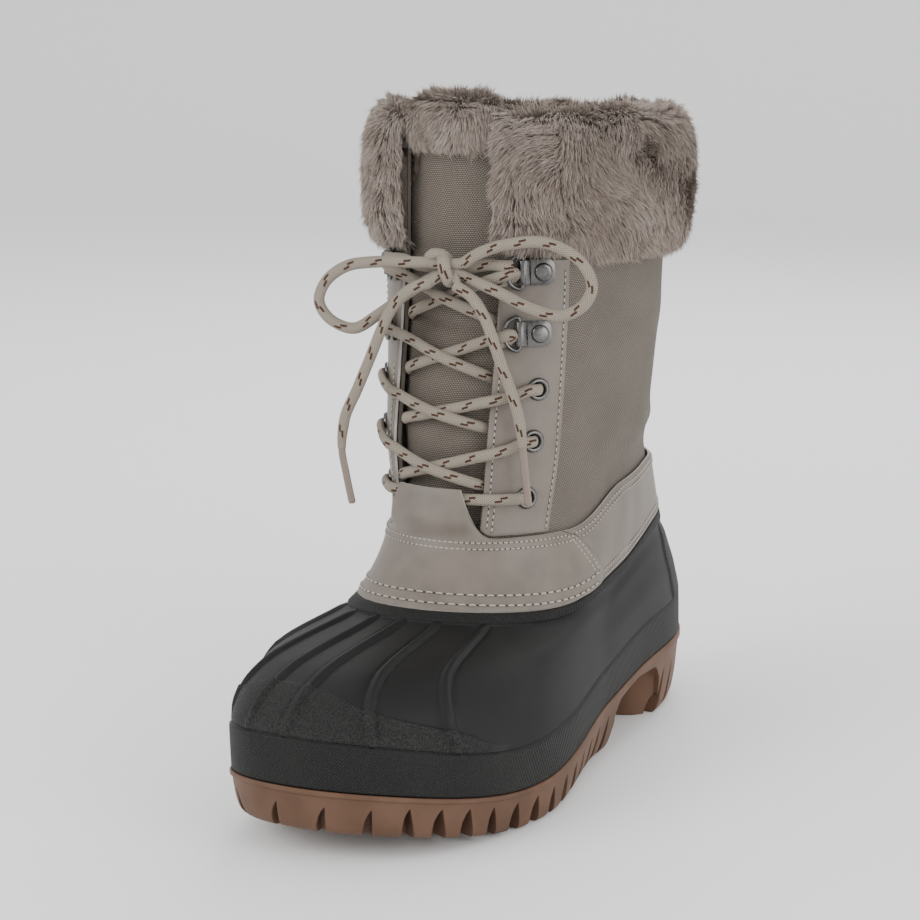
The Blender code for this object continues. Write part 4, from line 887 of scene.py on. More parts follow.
# %% A gap between two lugs
def sole_side(arc, share):
    """Place, along and outward on the sole's side; arc runs from the toe, and the inner side is negative."""
    sign = 1.0 if arc >= 0 else -1.0
    t = np.linspace(0, math.pi, 401)
    low = loop_of(TREAD, sign * t)
    run = run_of(low[:, :2])
    turn = sign * float(np.interp(abs(arc), run, t))
    place = lambda u: (surface(GUM, np.array([u])) * (1 - share) + loop_of(TREAD, np.array([u])) * share)[0]
    along = (place(turn + sign * 0.01) - place(turn - sign * 0.01)) * np.array([1.0, 1.0, 0.0])
    along /= np.linalg.norm(along)
    return place(turn), along, sign * np.array([along[1], -along[0], 0.0])


GAP_STEPS = (-0.14, 0.0, 0.35, 0.65, 0.87, 1.0)                  # where a gap's outlines are, up to its point


def lug_gap(arc, gap, rise=0.70, depth=8.0, lean=0.0):
    """A gap between two lugs, through outlines from below the tread up to its point."""
    points = []
    for up in GAP_STEPS:
        place, along, out = sole_side(arc, 1.0 - rise * max(up, 0.0))
        place = place - np.array([0.0, 0.0, 3.5 if up < 0 else 0.0])
        front = -gap / 2 + gap * 0.92 * max(up, 0.0) ** 2.8
        into = depth * (1 - 0.45 * max(up, 0.0) ** 1.4)
        shift = along * lean * max(up, 0.0)
        outline = ((front, -into), (gap / 2, -into), (gap / 2, 22.0), (front, 22.0))
        points += [place + shift + along * u + out * v for u, v in outline]
    last = 4 * (len(GAP_STEPS) - 1)
    quads = [(i + j, i + (j + 1) % 4, i + 4 + (j + 1) % 4, i + 4 + j) for i in range(0, last, 4) for j in range(4)]
    return points, quads + [(3, 2, 1, 0), (last, last + 1, last + 2, last + 3)]


print("a gap is a stack of", len(GAP_STEPS), "outlines")


# %% A Boolean with closed parts
def joined(parts):
    """Several closed (points, faces) as one, each turned right side out."""
    points, faces, first = [], [], 0
    for part_points, part_faces in parts:
        middle = np.mean(part_points, axis=0)
        off = [point - middle for point in part_points]
        volume = sum(np.dot(off[f[0]], np.cross(off[f[k]], off[f[k + 1]]))
                     for f in part_faces for k in range(1, len(f) - 1))
        points += list(part_points)
        faces += [tuple(first + i for i in (f if volume > 0 else f[::-1])) for f in part_faces]
        first += len(part_points)
    return points, faces


def cut(target, parts):
    """A Boolean with a cutter that is removed afterwards."""
    points, faces = joined(parts)
    mesh = bpy.data.meshes.new("cutter")
    mesh.from_pydata([tuple(p) for p in to_boot(points)], [], faces)
    cutter = bpy.data.objects.new("cutter", mesh)
    bpy.context.scene.collection.objects.link(cutter)
    step = target.modifiers.new("cut", "BOOLEAN")
    step.object, step.operation, step.solver = cutter, "DIFFERENCE", "EXACT"
    done = bpy.data.meshes.new_from_object(target.evaluated_get(bpy.context.evaluated_depsgraph_get()))
    target.modifiers.clear()
    old, target.data = target.data, done
    bpy.data.meshes.remove(old)
    bpy.data.objects.remove(cutter)


def block(x0, x1, y0, y1, z0, z1, lean=0.0):
    """A box, its far side moved along y by lean."""
    plan = ((x0, y0), (x1, y0 + lean), (x1, y1 + lean), (x0, y1))
    corners = [np.array((x, y, z)) for z in (z0, z1) for x, y in plan]
    return corners, [(3, 2, 1, 0), (4, 5, 6, 7), (0, 1, 5, 4), (1, 2, 6, 5), (2, 3, 7, 6), (3, 0, 4, 7)]


print("a block has", len(block(0, 1, 0, 1, 0, 1)[1]), "faces")

# %% Cut the gaps between the lugs
gaps = [lug_gap(0.0, 3.2, 0.62, 4.5, 1.0)]
for side, forefoot_end in ((1, 208), (-1, 196)):
    gaps += [lug_gap(side * arc, 3.6, 0.62, 4.5, 1.6) for arc in (17, 33)]
    gaps += [lug_gap(side * arc, 5.8 if k % 3 else 4.6) for k, arc in enumerate(np.arange(48.0, forefoot_end, 12.0))]
    gaps += [lug_gap(side * arc, 4.2, 0.66) for arc in (258, 270, 282, 294, 306)]
cut(sole, gaps)
print(len(gaps), "gaps")


# %% The arch and the grooves under the tread
def arch_outline(x):
    """The arch at one width; the corners of the two blocks are rounded in plan."""
    flare = 20 - math.sqrt(20**2 - min(max(abs(x + 3) - 16, 0), 19) ** 2)
    front, back, roof = 50.0 - flare, 79.0 + flare * 0.8, 20.5
    ramp = [(x, front + 7 * t, 15 + (roof - 14) * math.sin(t * math.pi / 2)) for t in (0.0, 0.25, 0.5, 0.75, 1.0)]
    fall = [(x, back - 7 * t, 17 + (roof + 3 - 17) * math.sin(t * math.pi / 2)) for t in (1.0, 0.75, 0.5, 0.25, 0.0)]
    return [(x, front, -4)] + ramp + [(x, (front + back) / 2, roof + 4)] + fall + [(x, back, -4)]


arch_rows = [arch_outline(x) for x in (-60, -40, -37, -33, -29, -25, -21, -17, -3, 11, 15, 19, 23, 27, 31, 34, 60)]
wide = len(arch_rows[0])
arch_faces = [(i * wide + j, i * wide + (j + 1) % wide, (i + 1) * wide + (j + 1) % wide, (i + 1) * wide + j)
              for i in range(len(arch_rows) - 1) for j in range(wide)]
arch_faces += [tuple(range(wide))[::-1], tuple((len(arch_rows) - 1) * wide + j for j in range(wide))]
cut(sole, [([np.array(p, float) for row in arch_rows for p in row], arch_faces)])
cut(sole, [block(-34, 24, y, y + 4.5, -4, 3.0, 3.0) for y in (-78, -56, -10, 12)]
    + [block(-24, 17, y, y + 4.0, -4, 3.0) for y in (98, 116)])
sole.data.polygons.foreach_set("use_smooth", np.ones(len(sole.data.polygons), bool))
sole.data.set_sharp_from_angle(angle=math.radians(30))
print("sole:", triangles(sole), "triangles")

# %% [markdown]
# ## The rubber shell
#
# The shell is the boot's foot: a foxing band above the sole, a toe cap, ridges over the vamp,
# a heel counter and a rim.
# All of them are steps in one wall, so the shell is one grid whose points are moved out by a few millimetres.
# Its columns follow the ridges and its rows follow the cap's edge, which keeps each step crisp with few faces.
# A ridge is a rounded welt with a faint groove on each side, and it runs on over the toe cap.

# %% Columns along the ridges
RIDGES = ((-0.87, -0.62), (-0.52, -0.33), (-0.145, -0.095), (0.065, 0.075), (0.445, 0.305), (0.79, 0.60))
RIDGE_HEIGHT, CAP_RAISE, COUNTER_RAISE, COUNTER_TURN = 1.55, 0.7, 0.8, 2.40
FOXING_STEP, SHELL_WALL = 1.5, 2.8
RIDGE_LOW, RIDGE_TOP = 0.023, 0.033           # half of a ridge's width, as a turn


def shell_columns():
    """The turns of each column at the foxing and at the rim, and its share of a ridge."""
    columns = []
    for ridge_low, ridge_top in RIDGES:
        for s in np.linspace(-1.4, 1.4, 15):
            welt_rise = max(0.0, math.cos(min(abs(s), 1.0) * math.pi / 2)) ** 0.9
            groove = 0.15 * math.exp(-((abs(s) - 1.2) / 0.14) ** 2)
            columns.append((ridge_low + s * RIDGE_LOW, ridge_top + s * RIDGE_TOP, welt_rise - groove))
    for (low_a, top_a), (low_b, top_b) in zip(RIDGES[:-1], RIDGES[1:]):
        for share in np.linspace(0, 1, 9)[1:-1]:
            a, b = 1.4 * RIDGE_LOW, 1.4 * RIDGE_TOP
            columns.append((low_a + a + share * (low_b - low_a - 2 * a),
                            top_a + b + share * (top_b - top_a - 2 * b), 0.0))
    for sign, edge_low, edge_top in ((1, 0.79, 0.60), (-1, 0.87, 0.62)):
        start = edge_low + 1.4 * RIDGE_LOW
        counter_edge = COUNTER_TURN + np.array([-0.02, -0.008, 0.0, 0.008, 0.02, 0.04])
        for turn in np.concatenate([np.linspace(start, COUNTER_TURN - 0.04, 66)[1:], counter_edge,
                                    np.linspace(COUNTER_TURN + 0.06, math.pi, 30)]):
            top = turn - (edge_low - edge_top) * max(0.0, 1 - (turn - edge_low) / 0.8)
            columns.append((sign * turn, sign * top, 0.0))
    return np.array(sorted(columns))


columns = shell_columns()
low_turn, top_turn, crest = columns.T
around = np.abs(low_turn)
panel = smooth((around - COUNTER_TURN + 0.012) / 0.024)
from_tip = np.abs(low_turn + 0.04)            # the toe's tip is a little to the inner side
cap_line = by_table((0.0, 0.10, 0.33, 0.56, 0.86, 1.06, 4.0), (2.04, 2.02, 1.86, 1.60, 1.38, 1.14, 1.14), from_tip)
in_cap = smooth((1.06 - from_tip) / 0.1)
ledge = FOXING_STEP * (1 - 0.5 * smooth((around - 1.0) / 0.8))
print(len(columns), "columns")

# %% Rows from the welt to the rim
rows = []                 # each row's points, and how pebbled, ribbed and crossed they are


def shell_row(level, ledge_share, outward, cap, ridge, counter, band=0.0, rim=0.0, lift=0.0):
    """One row of the shell, which takes these shares of the ledge, cap, ridges and counter."""
    level = np.broadcast_to(np.asarray(level, float), low_turn.shape)
    turn = low_turn + (top_turn - low_turn) * np.clip((level - 1.15) / 1.85, 0, 1)
    ridges = RIDGE_HEIGHT * ridge * crest * (1 - 0.12 * cap * in_cap)
    raised = outward - ledge_share * ledge + CAP_RAISE * cap * in_cap + ridges + COUNTER_RAISE * counter * panel
    place = S(level, turn, raised)
    place[..., 2] += lift
    pebbled = np.broadcast_to(np.maximum(0.95 * cap * in_cap, 0.7 * counter * panel * (1 - band)), low_turn.shape)
    sides = smooth((around - 0.75) / 0.5)
    rows.append((place, pebbled, band * sides, np.maximum(band * (1 - sides), rim) + 0 * around))


shell_row(GUM, 0, -SHELL_WALL, 0, 0, 0, lift=0.3)
shell_row(GUM, 0, -0.25, 0, 0, 0, lift=0.3)
for level in (0.015, 0.05, 0.15, 0.3, 0.45, 0.6, 0.75, 0.86, 0.93):
    shell_row(level, 0, 0.0, 0, 0, 0, band=1.0, lift=0.3 * (1 - level))
shell_row(0.965, 0, -0.06, 0, 0, 0, band=0.7)
shell_row(0.99, 0, -0.30, 0, 0, 0, band=0.3)
shell_row(1.005, 0.55, 0, 0, 0, 0)
shell_row(1.02, 1.0, 0, 0.5, 0.25, 0.6)
back_out = lambda level: smooth((VAMP - level) / (VAMP - FOX - 0.05))
for share in (0.0, 0.05, 0.12, 0.22, 0.34, 0.46, 0.58, 0.70, 0.80, 0.88, 0.95):
    level = 1.05 + (cap_line - 1.05) * share
    shell_row(level, back_out(level), 0, 1, 0.3 + 0.7 * smooth(share * 1.6), 1)
for step, cap in ((-0.012, 1.0), (0.0, 0.75), (0.012, 0.3), (0.024, 0.05), (0.036, 0.0)):
    level = cap_line + step
    shell_row(level, back_out(level), 0, cap, 1, 1)
for share in (0.07, 0.15, 0.24, 0.34, 0.44, 0.55, 0.66, 0.77, 0.88, 1.0):
    level = cap_line + 0.036 + (VAMP + 0.15 - cap_line - 0.036) * share
    shell_row(level, back_out(level), 0, 0, 1, 1)
for level in (2.52, 2.60, 2.68, 2.76, 2.83, 2.89, 2.94, 2.97, 2.99):
    ridge, counter = 1 - 0.5 * smooth((level - 2.9) / 0.1), 1 - 0.5 * smooth((level - 2.6) / 0.4)
    shell_row(level, 0, -1.0 * smooth((level - 2.5) / 0.49), 0, ridge, counter)
RIM_ROWS = ((3.0, -0.75, 0.2), (3.006, -0.2, 0.8), (3.018, 0.0, 1.0), (3.05, 0.05, 1.0), (3.09, 0.05, 1.0),
            (3.13, 0.03, 1.0), (3.17, 0.0, 1.0), (3.205, -0.10, 0.6), (3.22, -0.40, 0.2), (3.222, -1.2, 0.0),
            (3.222, -SHELL_WALL, 0.0))       # level, outward, and how much of the crossed lines
for level, out, rim in RIM_ROWS:
    shell_row(level, 0, out, 0, 0, 0.2, rim=rim * 0.8)
shell_grid = np.stack([row[0] for row in rows])
shell_fields = {"lay": lay_of(shell_grid).reshape(-1, 3)}
shell_fields.update({field: np.stack([row[k] for row in rows]).ravel()
                     for k, field in enumerate(("pebbled", "ribbed", "crossed"), 1)})
shell = piece("moulded_shell", shell_grid.reshape(-1, 3), [grid_faces(*shell_grid.shape[:2])], black_rubber,
              ["rubber_shell"], shell_fields, sharp=50)
print("shell:", shell_grid.shape[0], "rows,", triangles(shell), "triangles")

# %% [markdown]
# ## The shaft and its lining
#
# The shaft is a tube of canvas, open at the throat, with a fleece lining inside.
# Worn cloth is never quite flat: it sinks a little where the ankle bends and stands out above each sink.
# Those troughs are listed, each with its height, its place round the leg, its length and its depth.

# %% Soft creases of the shaft
SHAFT_CREASES = (         # level, arc, half length, half height as a level, depth, rise per mm
    (5.05, 92.0, 34.0, 0.22, -1.0, 0.006), (5.62, 106.0, 30.0, 0.20, -0.8, -0.005),
    (5.0, -95.0, 34.0, 0.22, -1.0, -0.006), (5.60, -108.0, 30.0, 0.20, -0.8, 0.005),
    (6.6, 88.0, 22.0, 0.30, -0.5, -0.009), (6.4, -86.0, 24.0, 0.30, -0.5, 0.009),
    (7.3, 118.0, 28.0, 0.30, 0.6, 0.004), (5.3, 140.0, 26.0, 0.25, 0.9, 0.0))


def creased(level, arc, creases):
    """How far the cloth stands out because of its creases."""
    out = np.zeros(np.broadcast(level, arc).shape)
    for at_level, at_arc, long, tall, depth, rise in creases:
        away = level - at_level - rise * (arc - at_arc)
        out += depth * np.exp(-(away / tall) ** 2) * smooth(1 - np.abs(arc - at_arc) / (1.6 * long))
    return out


print(len(SHAFT_CREASES), "creases in the shaft")


# %% The canvas shaft
def leg_grid(levels, count, gap, outward):
    """Rows round the leg from one edge of the throat to the other."""
    grid = []
    for level in levels:
        arc = np.linspace(THROAT_MID + gap, girth(level) + THROAT_MID - gap, count)
        turn = turn_at(level, arc)
        signed = np.where(arc > girth(level) / 2, arc - girth(level), arc)
        grid.append(S(np.full(count, level), turn, outward(level, signed)))
    return np.stack(grid)


CANVAS_WALL, SHAFT_COLUMNS = 1.4, 200
shaft_levels = np.concatenate([np.linspace(3.15, 4.3, 10), np.linspace(4.4, 8.3, 66), np.linspace(8.5, 9.75, 6)])
shaft_lay = lambda level, arc: shaft_outward(level) + creased(level, arc, SHAFT_CREASES)
shaft_skin = leg_grid(shaft_levels, SHAFT_COLUMNS, THROAT_HALF + 0.4, shaft_lay)
shaft_inner = lambda level, arc: shaft_lay(level, arc) - CANVAS_WALL
shaft_back = leg_grid(shaft_levels, SHAFT_COLUMNS, THROAT_HALF + 0.4, shaft_inner)
shaft = skin("canvas_shaft", shaft_skin, shaft_back, canvas, canvas_edge, ["shaft"],
             {"lay": lay_of(shaft_skin)})
print("shaft:", triangles(shaft), "triangles")

# %% The fleece inside, whole round the foot and open at the throat
FOOT_ROWS, LINING_COLUMNS = 12, 161
lining_levels = np.linspace(0.6, 9.7, 40)
lining_turns = np.linspace(0.0, 2 * math.pi, LINING_COLUMNS)
in_row = lambda value: np.full(LINING_COLUMNS, value)
foot_lining = np.stack([S(in_row(level), lining_turns, in_row(-4.3 if level < 3.4 else -2.6))
                        for level in lining_levels[:FOOT_ROWS]])
ripple = lambda level, arc: 0.5 * np.sin(arc / 3.1 + 4 * level) * np.sin(arc / 7.3)
leg_lining = leg_grid(lining_levels[FOOT_ROWS - 1:], LINING_COLUMNS, THROAT_HALF + 1.2,
                      lambda level, arc: shaft_outward(level) - 1.6 + ripple(level, arc))
lining = piece("fleece_lining", np.concatenate([foot_lining.reshape(-1, 3), leg_lining.reshape(-1, 3)]),
               [grid_faces(FOOT_ROWS, LINING_COLUMNS, turned=True),
                grid_faces(len(leg_lining), LINING_COLUMNS, foot_lining.size // 3, turned=True)], fleece)
insole = bpy.data.objects["insole"].data
insole.materials.clear()
insole.materials.append(fleece)
print("lining:", triangles(lining), "triangles")

# %% [markdown]
# ## The tongue
#
# The tongue is a padded strip of the same canvas behind the throat. It is crowned across its width.
# It has buckled at half the height of the throat, into a slanted fold with a dark line under it.
# Smaller folds lie above and below that one, so that each lace crosses cloth that gives a little.

# %% The tongue and its fold
TONGUE_FOLDS = (          # a sink and the ridge above it in a row, with the same six numbers as the shaft's creases
    (7.20, 0.0, 30.0, 0.07, -1.6, -0.006), (7.34, 2.0, 30.0, 0.13, 0.9, -0.006),
    (6.92, 0.0, 26.0, 0.16, 0.7, -0.003),
    (6.52, 3.0, 22.0, 0.07, -1.0, 0.004), (6.65, 3.0, 22.0, 0.11, 0.7, 0.004),
    (5.86, -3.0, 22.0, 0.07, -0.9, -0.004), (5.98, -3.0, 22.0, 0.11, 0.6, -0.004),
    (5.25, 5.0, 20.0, 0.10, -0.8, 0.004), (8.6, -6.0, 16.0, 0.25, -0.4, 0.012))


def tongue_outward(level):
    return by_table((3.6, 4.4, 5.1, 5.8, 8.2, 9.1, 10.6), (-6.5, -6.2, -5.4, -3.9, -3.2, -3.4, -4.6), level)


TONGUE_HALF, TONGUE_TOP_HALF, TONGUE_COLUMNS = 37.0, 20.5, 61
tongue_levels = np.concatenate([np.linspace(3.7, 4.6, 8), np.linspace(4.66, 8.3, 92), np.linspace(8.36, 10.05, 26)])
front, back = [], []
for level in tongue_levels:
    half = TONGUE_HALF + (TONGUE_TOP_HALF - TONGUE_HALF) * float(smooth((level - 8.8) / 0.7))
    away = half * np.sin(np.linspace(-math.pi / 2, math.pi / 2, TONGUE_COLUMNS))
    turn = turn_at(level, THROAT_MID + away)
    full = 1 - (away / half) ** 2
    lay = tongue_outward(np.full(TONGUE_COLUMNS, level)) - 0.7 * (1 - full) ** 6
    fold = creased(level, away, TONGUE_FOLDS) * smooth(full * 3)
    front.append(S(np.full(TONGUE_COLUMNS, level), turn, lay + fold))
    back.append(S(np.full(TONGUE_COLUMNS, level), turn, lay + fold - 2.2 - 1.4 * full))
front, back = np.stack(front), np.stack(back)
tongue = skin("folded_tongue", front, back, tongue_canvas, canvas_edge, ["tongue"], {"lay": lay_of(front)})
print("tongue:", triangles(tongue), "triangles")

# %% [markdown]
# ## The leather
#
# Four pieces of leather cover the joint between rubber and canvas: a band over the vamp with a tab for the lace,
# a band round the heel, and an eyestay on each side of the throat.
# Their cut edges are paler than their faces, so the rim of each piece has a finish of its own.

# %% The bands' edges
TAB_TOP, TAB_HALF, TAB_FOOT = 4.88, 13.5, 29.0
TAB_LIFT = 3.4                                # how far the tab stands out, to let the lace through under it
BAND_LOW, BAND_TALL = BAND - 0.02, 26.0       # the bands' lower edge as a level, and their height in millimetres
END_TURN, ARC_PER_TURN = 1.02, 54.5           # where the vamp's band ends at its top, and millimetres in a turn of 1
HEEL_GAP = 0.012                              # the turn between the two bands
ROUND_OFF = np.array([0.0, 0.012, 0.03, 0.055])                  # rows by an edge, where the leather rolls over
BAND_RISE = np.concatenate([ROUND_OFF, np.linspace(0.09, 0.91, 26), 1 - ROUND_OFF[::-1]])


def band_top(arc):
    """The band's top edge rises into the tab at the front."""
    away = np.abs(np.asarray(arc, float) - THROAT_MID)
    return BANDTOP + (TAB_TOP - BANDTOP) * np.clip((TAB_FOOT - away) / (TAB_FOOT - TAB_HALF), 0, 1) ** 2.2


def band_end(level):
    """The turn where the vamp's band ends: it runs back as it goes down, and its top corner is rounded."""
    return by_table((3.0, 3.40, 3.85, 4.10, 4.22, 5.0), (1.50, 1.44, 1.27, 1.14, END_TURN, END_TURN), level)


def rolled(share, depth=0.55, reach=0.055):
    """How much lower a face is near its two edges."""
    near = np.minimum(share, 1 - share) / reach
    return depth * (1 - np.clip(near, 0, 1)) ** 2


print("the vamp's band is", round(2 * END_TURN * ARC_PER_TURN), "mm long at its top")

# %% The vamp's band with its lace tab
band_arcs = np.concatenate([np.arange(0, 11, 1.5), np.arange(11, 18, 0.5),
                            np.arange(18, 34, 1.0), np.arange(34, 48, 1.5)])
right = list(turn_at(BANDTOP, band_arcs + THROAT_MID) / END_TURN)
left = list(turn_at(BANDTOP, THROAT_MID - band_arcs[1:]) / END_TURN)[::-1]
beyond = np.array([0.90, 0.92, 0.94, 0.96, 0.975, 0.985, 0.993, 1.0])
band_share = np.concatenate([-beyond[::-1], left, right, beyond])
band_share = band_share[np.concatenate([[True], np.diff(band_share) > 1e-4])]
arc_top = band_share * END_TURN * ARC_PER_TURN


def tab_rise(arc, level):
    """How far the tab lifts the vamp's band."""
    return TAB_LIFT * smooth((TAB_HALF + 9.0 - np.abs(arc - THROAT_MID)) / 6.0) * smooth((level - 4.12) / 0.34)


outer, inner = [], []
for rise in BAND_RISE:
    level = BAND_LOW + rise * (band_top(arc_top) - BAND_LOW)
    turn = band_share * band_end(level)
    raised = tab_rise(arc_top, level)
    sag = 0.25 * np.sin(arc_top / 9.0 + 3 * rise) * np.sin(math.pi * rise)
    outer.append(S(level, turn, 0.35 + raised + sag - rolled(rise) - rolled((band_share + 1) / 2, 0.5, 0.012)))
    inner.append(S(level, turn, raised - LEATHER))
vamp_leather = skin("vamp_leather", outer, inner, leather, cut_edge, ["vamp_band"])
print("vamp's band:", triangles(vamp_leather), "triangles")

# %% The heel's band
outer, inner = [], []
heel_share = np.concatenate([[0.0, 0.004, 0.010], np.linspace(0.02, 0.98, 150), [0.990, 0.996, 1.0]])
for rise in BAND_RISE:
    level = np.full(heel_share.shape, BAND_LOW + rise * (BANDTOP - BAND_LOW))
    start = band_end(level) + HEEL_GAP
    turn = start + heel_share * (2 * math.pi - 2 * start)
    at_sides = np.exp(-((np.abs(turn - math.pi) - 1.45) / 0.22) ** 2)
    pucker = 0.35 * np.sin(turn * 23) * at_sides * np.sin(math.pi * rise)
    outer.append(S(level, turn, -0.25 + pucker - rolled(rise)))
    inner.append(S(level, turn, np.full(level.shape, -LEATHER)))
heel_leather = skin("heel_leather", outer, inner, leather, cut_edge, ["heel_band"])
print("heel's band:", triangles(heel_leather), "triangles")

# %% Where the eyestays lie
EYESTAY_TOP, EYESTAY_OFF_BAND = 8.19, 0.035   # levels: its top, and its gap above the band


def eyestay_edges(rise):
    """The distances from the throat's middle to an eyestay's two edges, at a share of its height."""
    level = 4.2 + rise * 4.0
    return THROAT_HALF + 0.8, THROAT_HALF + 32.0 - 4.0 * smooth((level - 4.4) / 3.8)


def on_eyestay(rise, arc):
    """Levels and turns on an eyestay, whose foot follows the band's top edge."""
    foot = band_top(arc) + EYESTAY_OFF_BAND
    level = foot + rise * (EYESTAY_TOP - foot)
    return level, np.array([float(turn_at(height, distance)) for height, distance in zip(level, arc)])


def frame_at(level, arc):
    """Place, outward, up and sideways on the leg."""
    turn = turn_at(level, arc)
    place, out = surface(np.array(level), turn), normal(np.array(level), turn)
    up = UPWARD - out * out[2]
    up /= np.linalg.norm(up)
    return place, out, up, np.cross(up, out)


print("an eyestay is", round(float(np.ptp(eyestay_edges(0.0)))), "mm wide at its foot")


# %% Bars to cut round holes
def prism(outline, axis, low, high):
    """A flat outline pushed along an axis, as points and faces of mixed sizes."""
    outline, n = np.asarray(outline, float), len(outline)
    points = np.concatenate([outline + axis * low, outline + axis * high])
    walls = [(j, (j + 1) % n, n + (j + 1) % n, n + j) for j in range(n)]
    return points, walls + [tuple(range(n))[::-1], tuple(range(n, 2 * n))]


def round_cutter(level, arc, radius, low, high, sides=24):
    """A round bar through the leg's wall, to cut a hole with."""
    place, out, up, side = frame_at(level, arc)
    angles = np.arange(sides) * 2 * math.pi / sides
    return prism([place + radius * (math.cos(a) * side + math.sin(a) * up) for a in angles], out, low, high)


print("a round bar has", len(round_cutter(5.0, 40.0, 2.0, 0.0, 1.0)[1]), "faces")

# %% The eyestays, with their holes
SIDES = (("outer", 1), ("inner", -1))
EYESTAY_ACROSS = np.concatenate([[0.0, 0.012, 0.03, 0.06], np.linspace(0.1, 0.9, 12), [0.94, 0.97, 0.988, 1.0]])
EYESTAY_RISE = np.concatenate([[0.0, 0.004, 0.012], np.linspace(0.03, 1.0, 60)])
eyestays = {}
for word, side in SIDES:
    outer, inner = [], []
    for rise in EYESTAY_RISE:
        near, far = eyestay_edges(rise)
        across = EYESTAY_ACROSS if side > 0 else EYESTAY_ACROSS[::-1]
        level, turn = on_eyestay(rise, THROAT_MID + side * (near + across * (far - near)))
        lay = shaft_outward(level) + EYESTAY_CLEAR
        face = lay + LEATHER - rolled(across, 0.5, 0.06) - 0.4 * (rise < 0.003) - 0.12 * (rise < 0.01)
        outer.append(S(level, turn, face))
        inner.append(S(level, turn, lay))
    eyestays[word] = skin("eyestay_leather_" + word, outer, inner, leather, cut_edge, ["eyestay_" + word])
    hole_arc = THROAT_MID + side * EYELET_ARC
    cut(eyestays[word], [round_cutter(level, hole_arc, EYELET_HOLE + 0.3, -7.0, 5.0) for level in EYELET_LEVELS])
print("eyestays:", triangles(*eyestays.values()), "triangles")

# %% [markdown]
# ## The hardware
#
# Three eyelets on each side are pressed rings. Above them, two D-rings on each side hang from riveted clips.
# An eyelet is one outline turned round its hole. A clip is a bent plate with rounded corners and a low domed rivet,
# and a ring is a bent wire. A small bevel catches the light on a clip's edges, as on a tumbled metal stamping.


# %% Eyelets
def turned_rings(level, arc, section, sides=40):
    """Points of a closed outline of (radius, outward), turned round the surface's normal."""
    place, out, up, side = frame_at(level, arc)
    angle = np.linspace(0, 2 * math.pi, sides + 1)
    section = np.array(section)
    section = np.concatenate([section, section[:1]])
    ring = np.cos(angle)[:, None] * side + np.sin(angle)[:, None] * up
    return place + out * section[None, :, 1:] + ring[:, None] * section[None, :, :1]


def gather(parts):
    """Several (points, quads) as one."""
    points, faces, first = [], [], 0
    for p, f in parts:
        points.append(np.asarray(p, float).reshape(-1, 3))
        faces.append(np.asarray(f) + first)
        first += len(points[-1])
    return np.concatenate(points), np.concatenate(faces)


metal_pieces = []
for word, side in SIDES:
    for k, level in enumerate(EYELET_LEVELS):
        top = leather_top(level)
        angle = np.linspace(0, math.pi, 9)
        crown = [(3.55 + 1.0 * math.cos(a), top + 0.35 + 1.05 * math.sin(a)) for a in angle]
        barrel = [(2.5, top + 0.2), (2.45, top - 1.6), (2.75, top - 1.6), (2.75, top + 0.1)]
        rings = turned_rings(level, THROAT_MID + side * EYELET_ARC, [(EYELET_BRIM, top + 0.1)] + crown + barrel)
        metal_pieces.append(piece(f"pressed_eyelet_{word}_{k + 1}", rings.reshape(-1, 3),
                                  [grid_faces(*rings.shape[:2], turned=True)], gunmetal,
                                  [f"eyelet_{word}_{k + 1}"]))
print("eyelets:", triangles(*metal_pieces), "triangles")


# %% A metal solid with softened edges
EDGE_ROUND = 0.22


def solid_piece(name, parts, stands_for):
    """A metal piece from closed parts, its edges rounded by a bevel."""
    points, faces = joined(parts)
    mesh = bpy.data.meshes.new(name)
    mesh.from_pydata([tuple(p) for p in to_boot(points)], [], faces)
    mesh.polygons.foreach_set("use_smooth", np.ones(len(mesh.polygons), bool))
    mesh.materials.append(gunmetal)
    made = bpy.data.objects.new(name, mesh)
    bpy.context.scene.collection.objects.link(made)
    step = made.modifiers.new("rounded", "BEVEL")
    step.width, step.segments = EDGE_ROUND * MM, 2
    step.limit_method, step.angle_limit = "ANGLE", math.radians(40)
    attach(made, "root")
    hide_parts(*stands_for)
    return made


print("the clips' edges are rounded by", EDGE_ROUND, "mm")

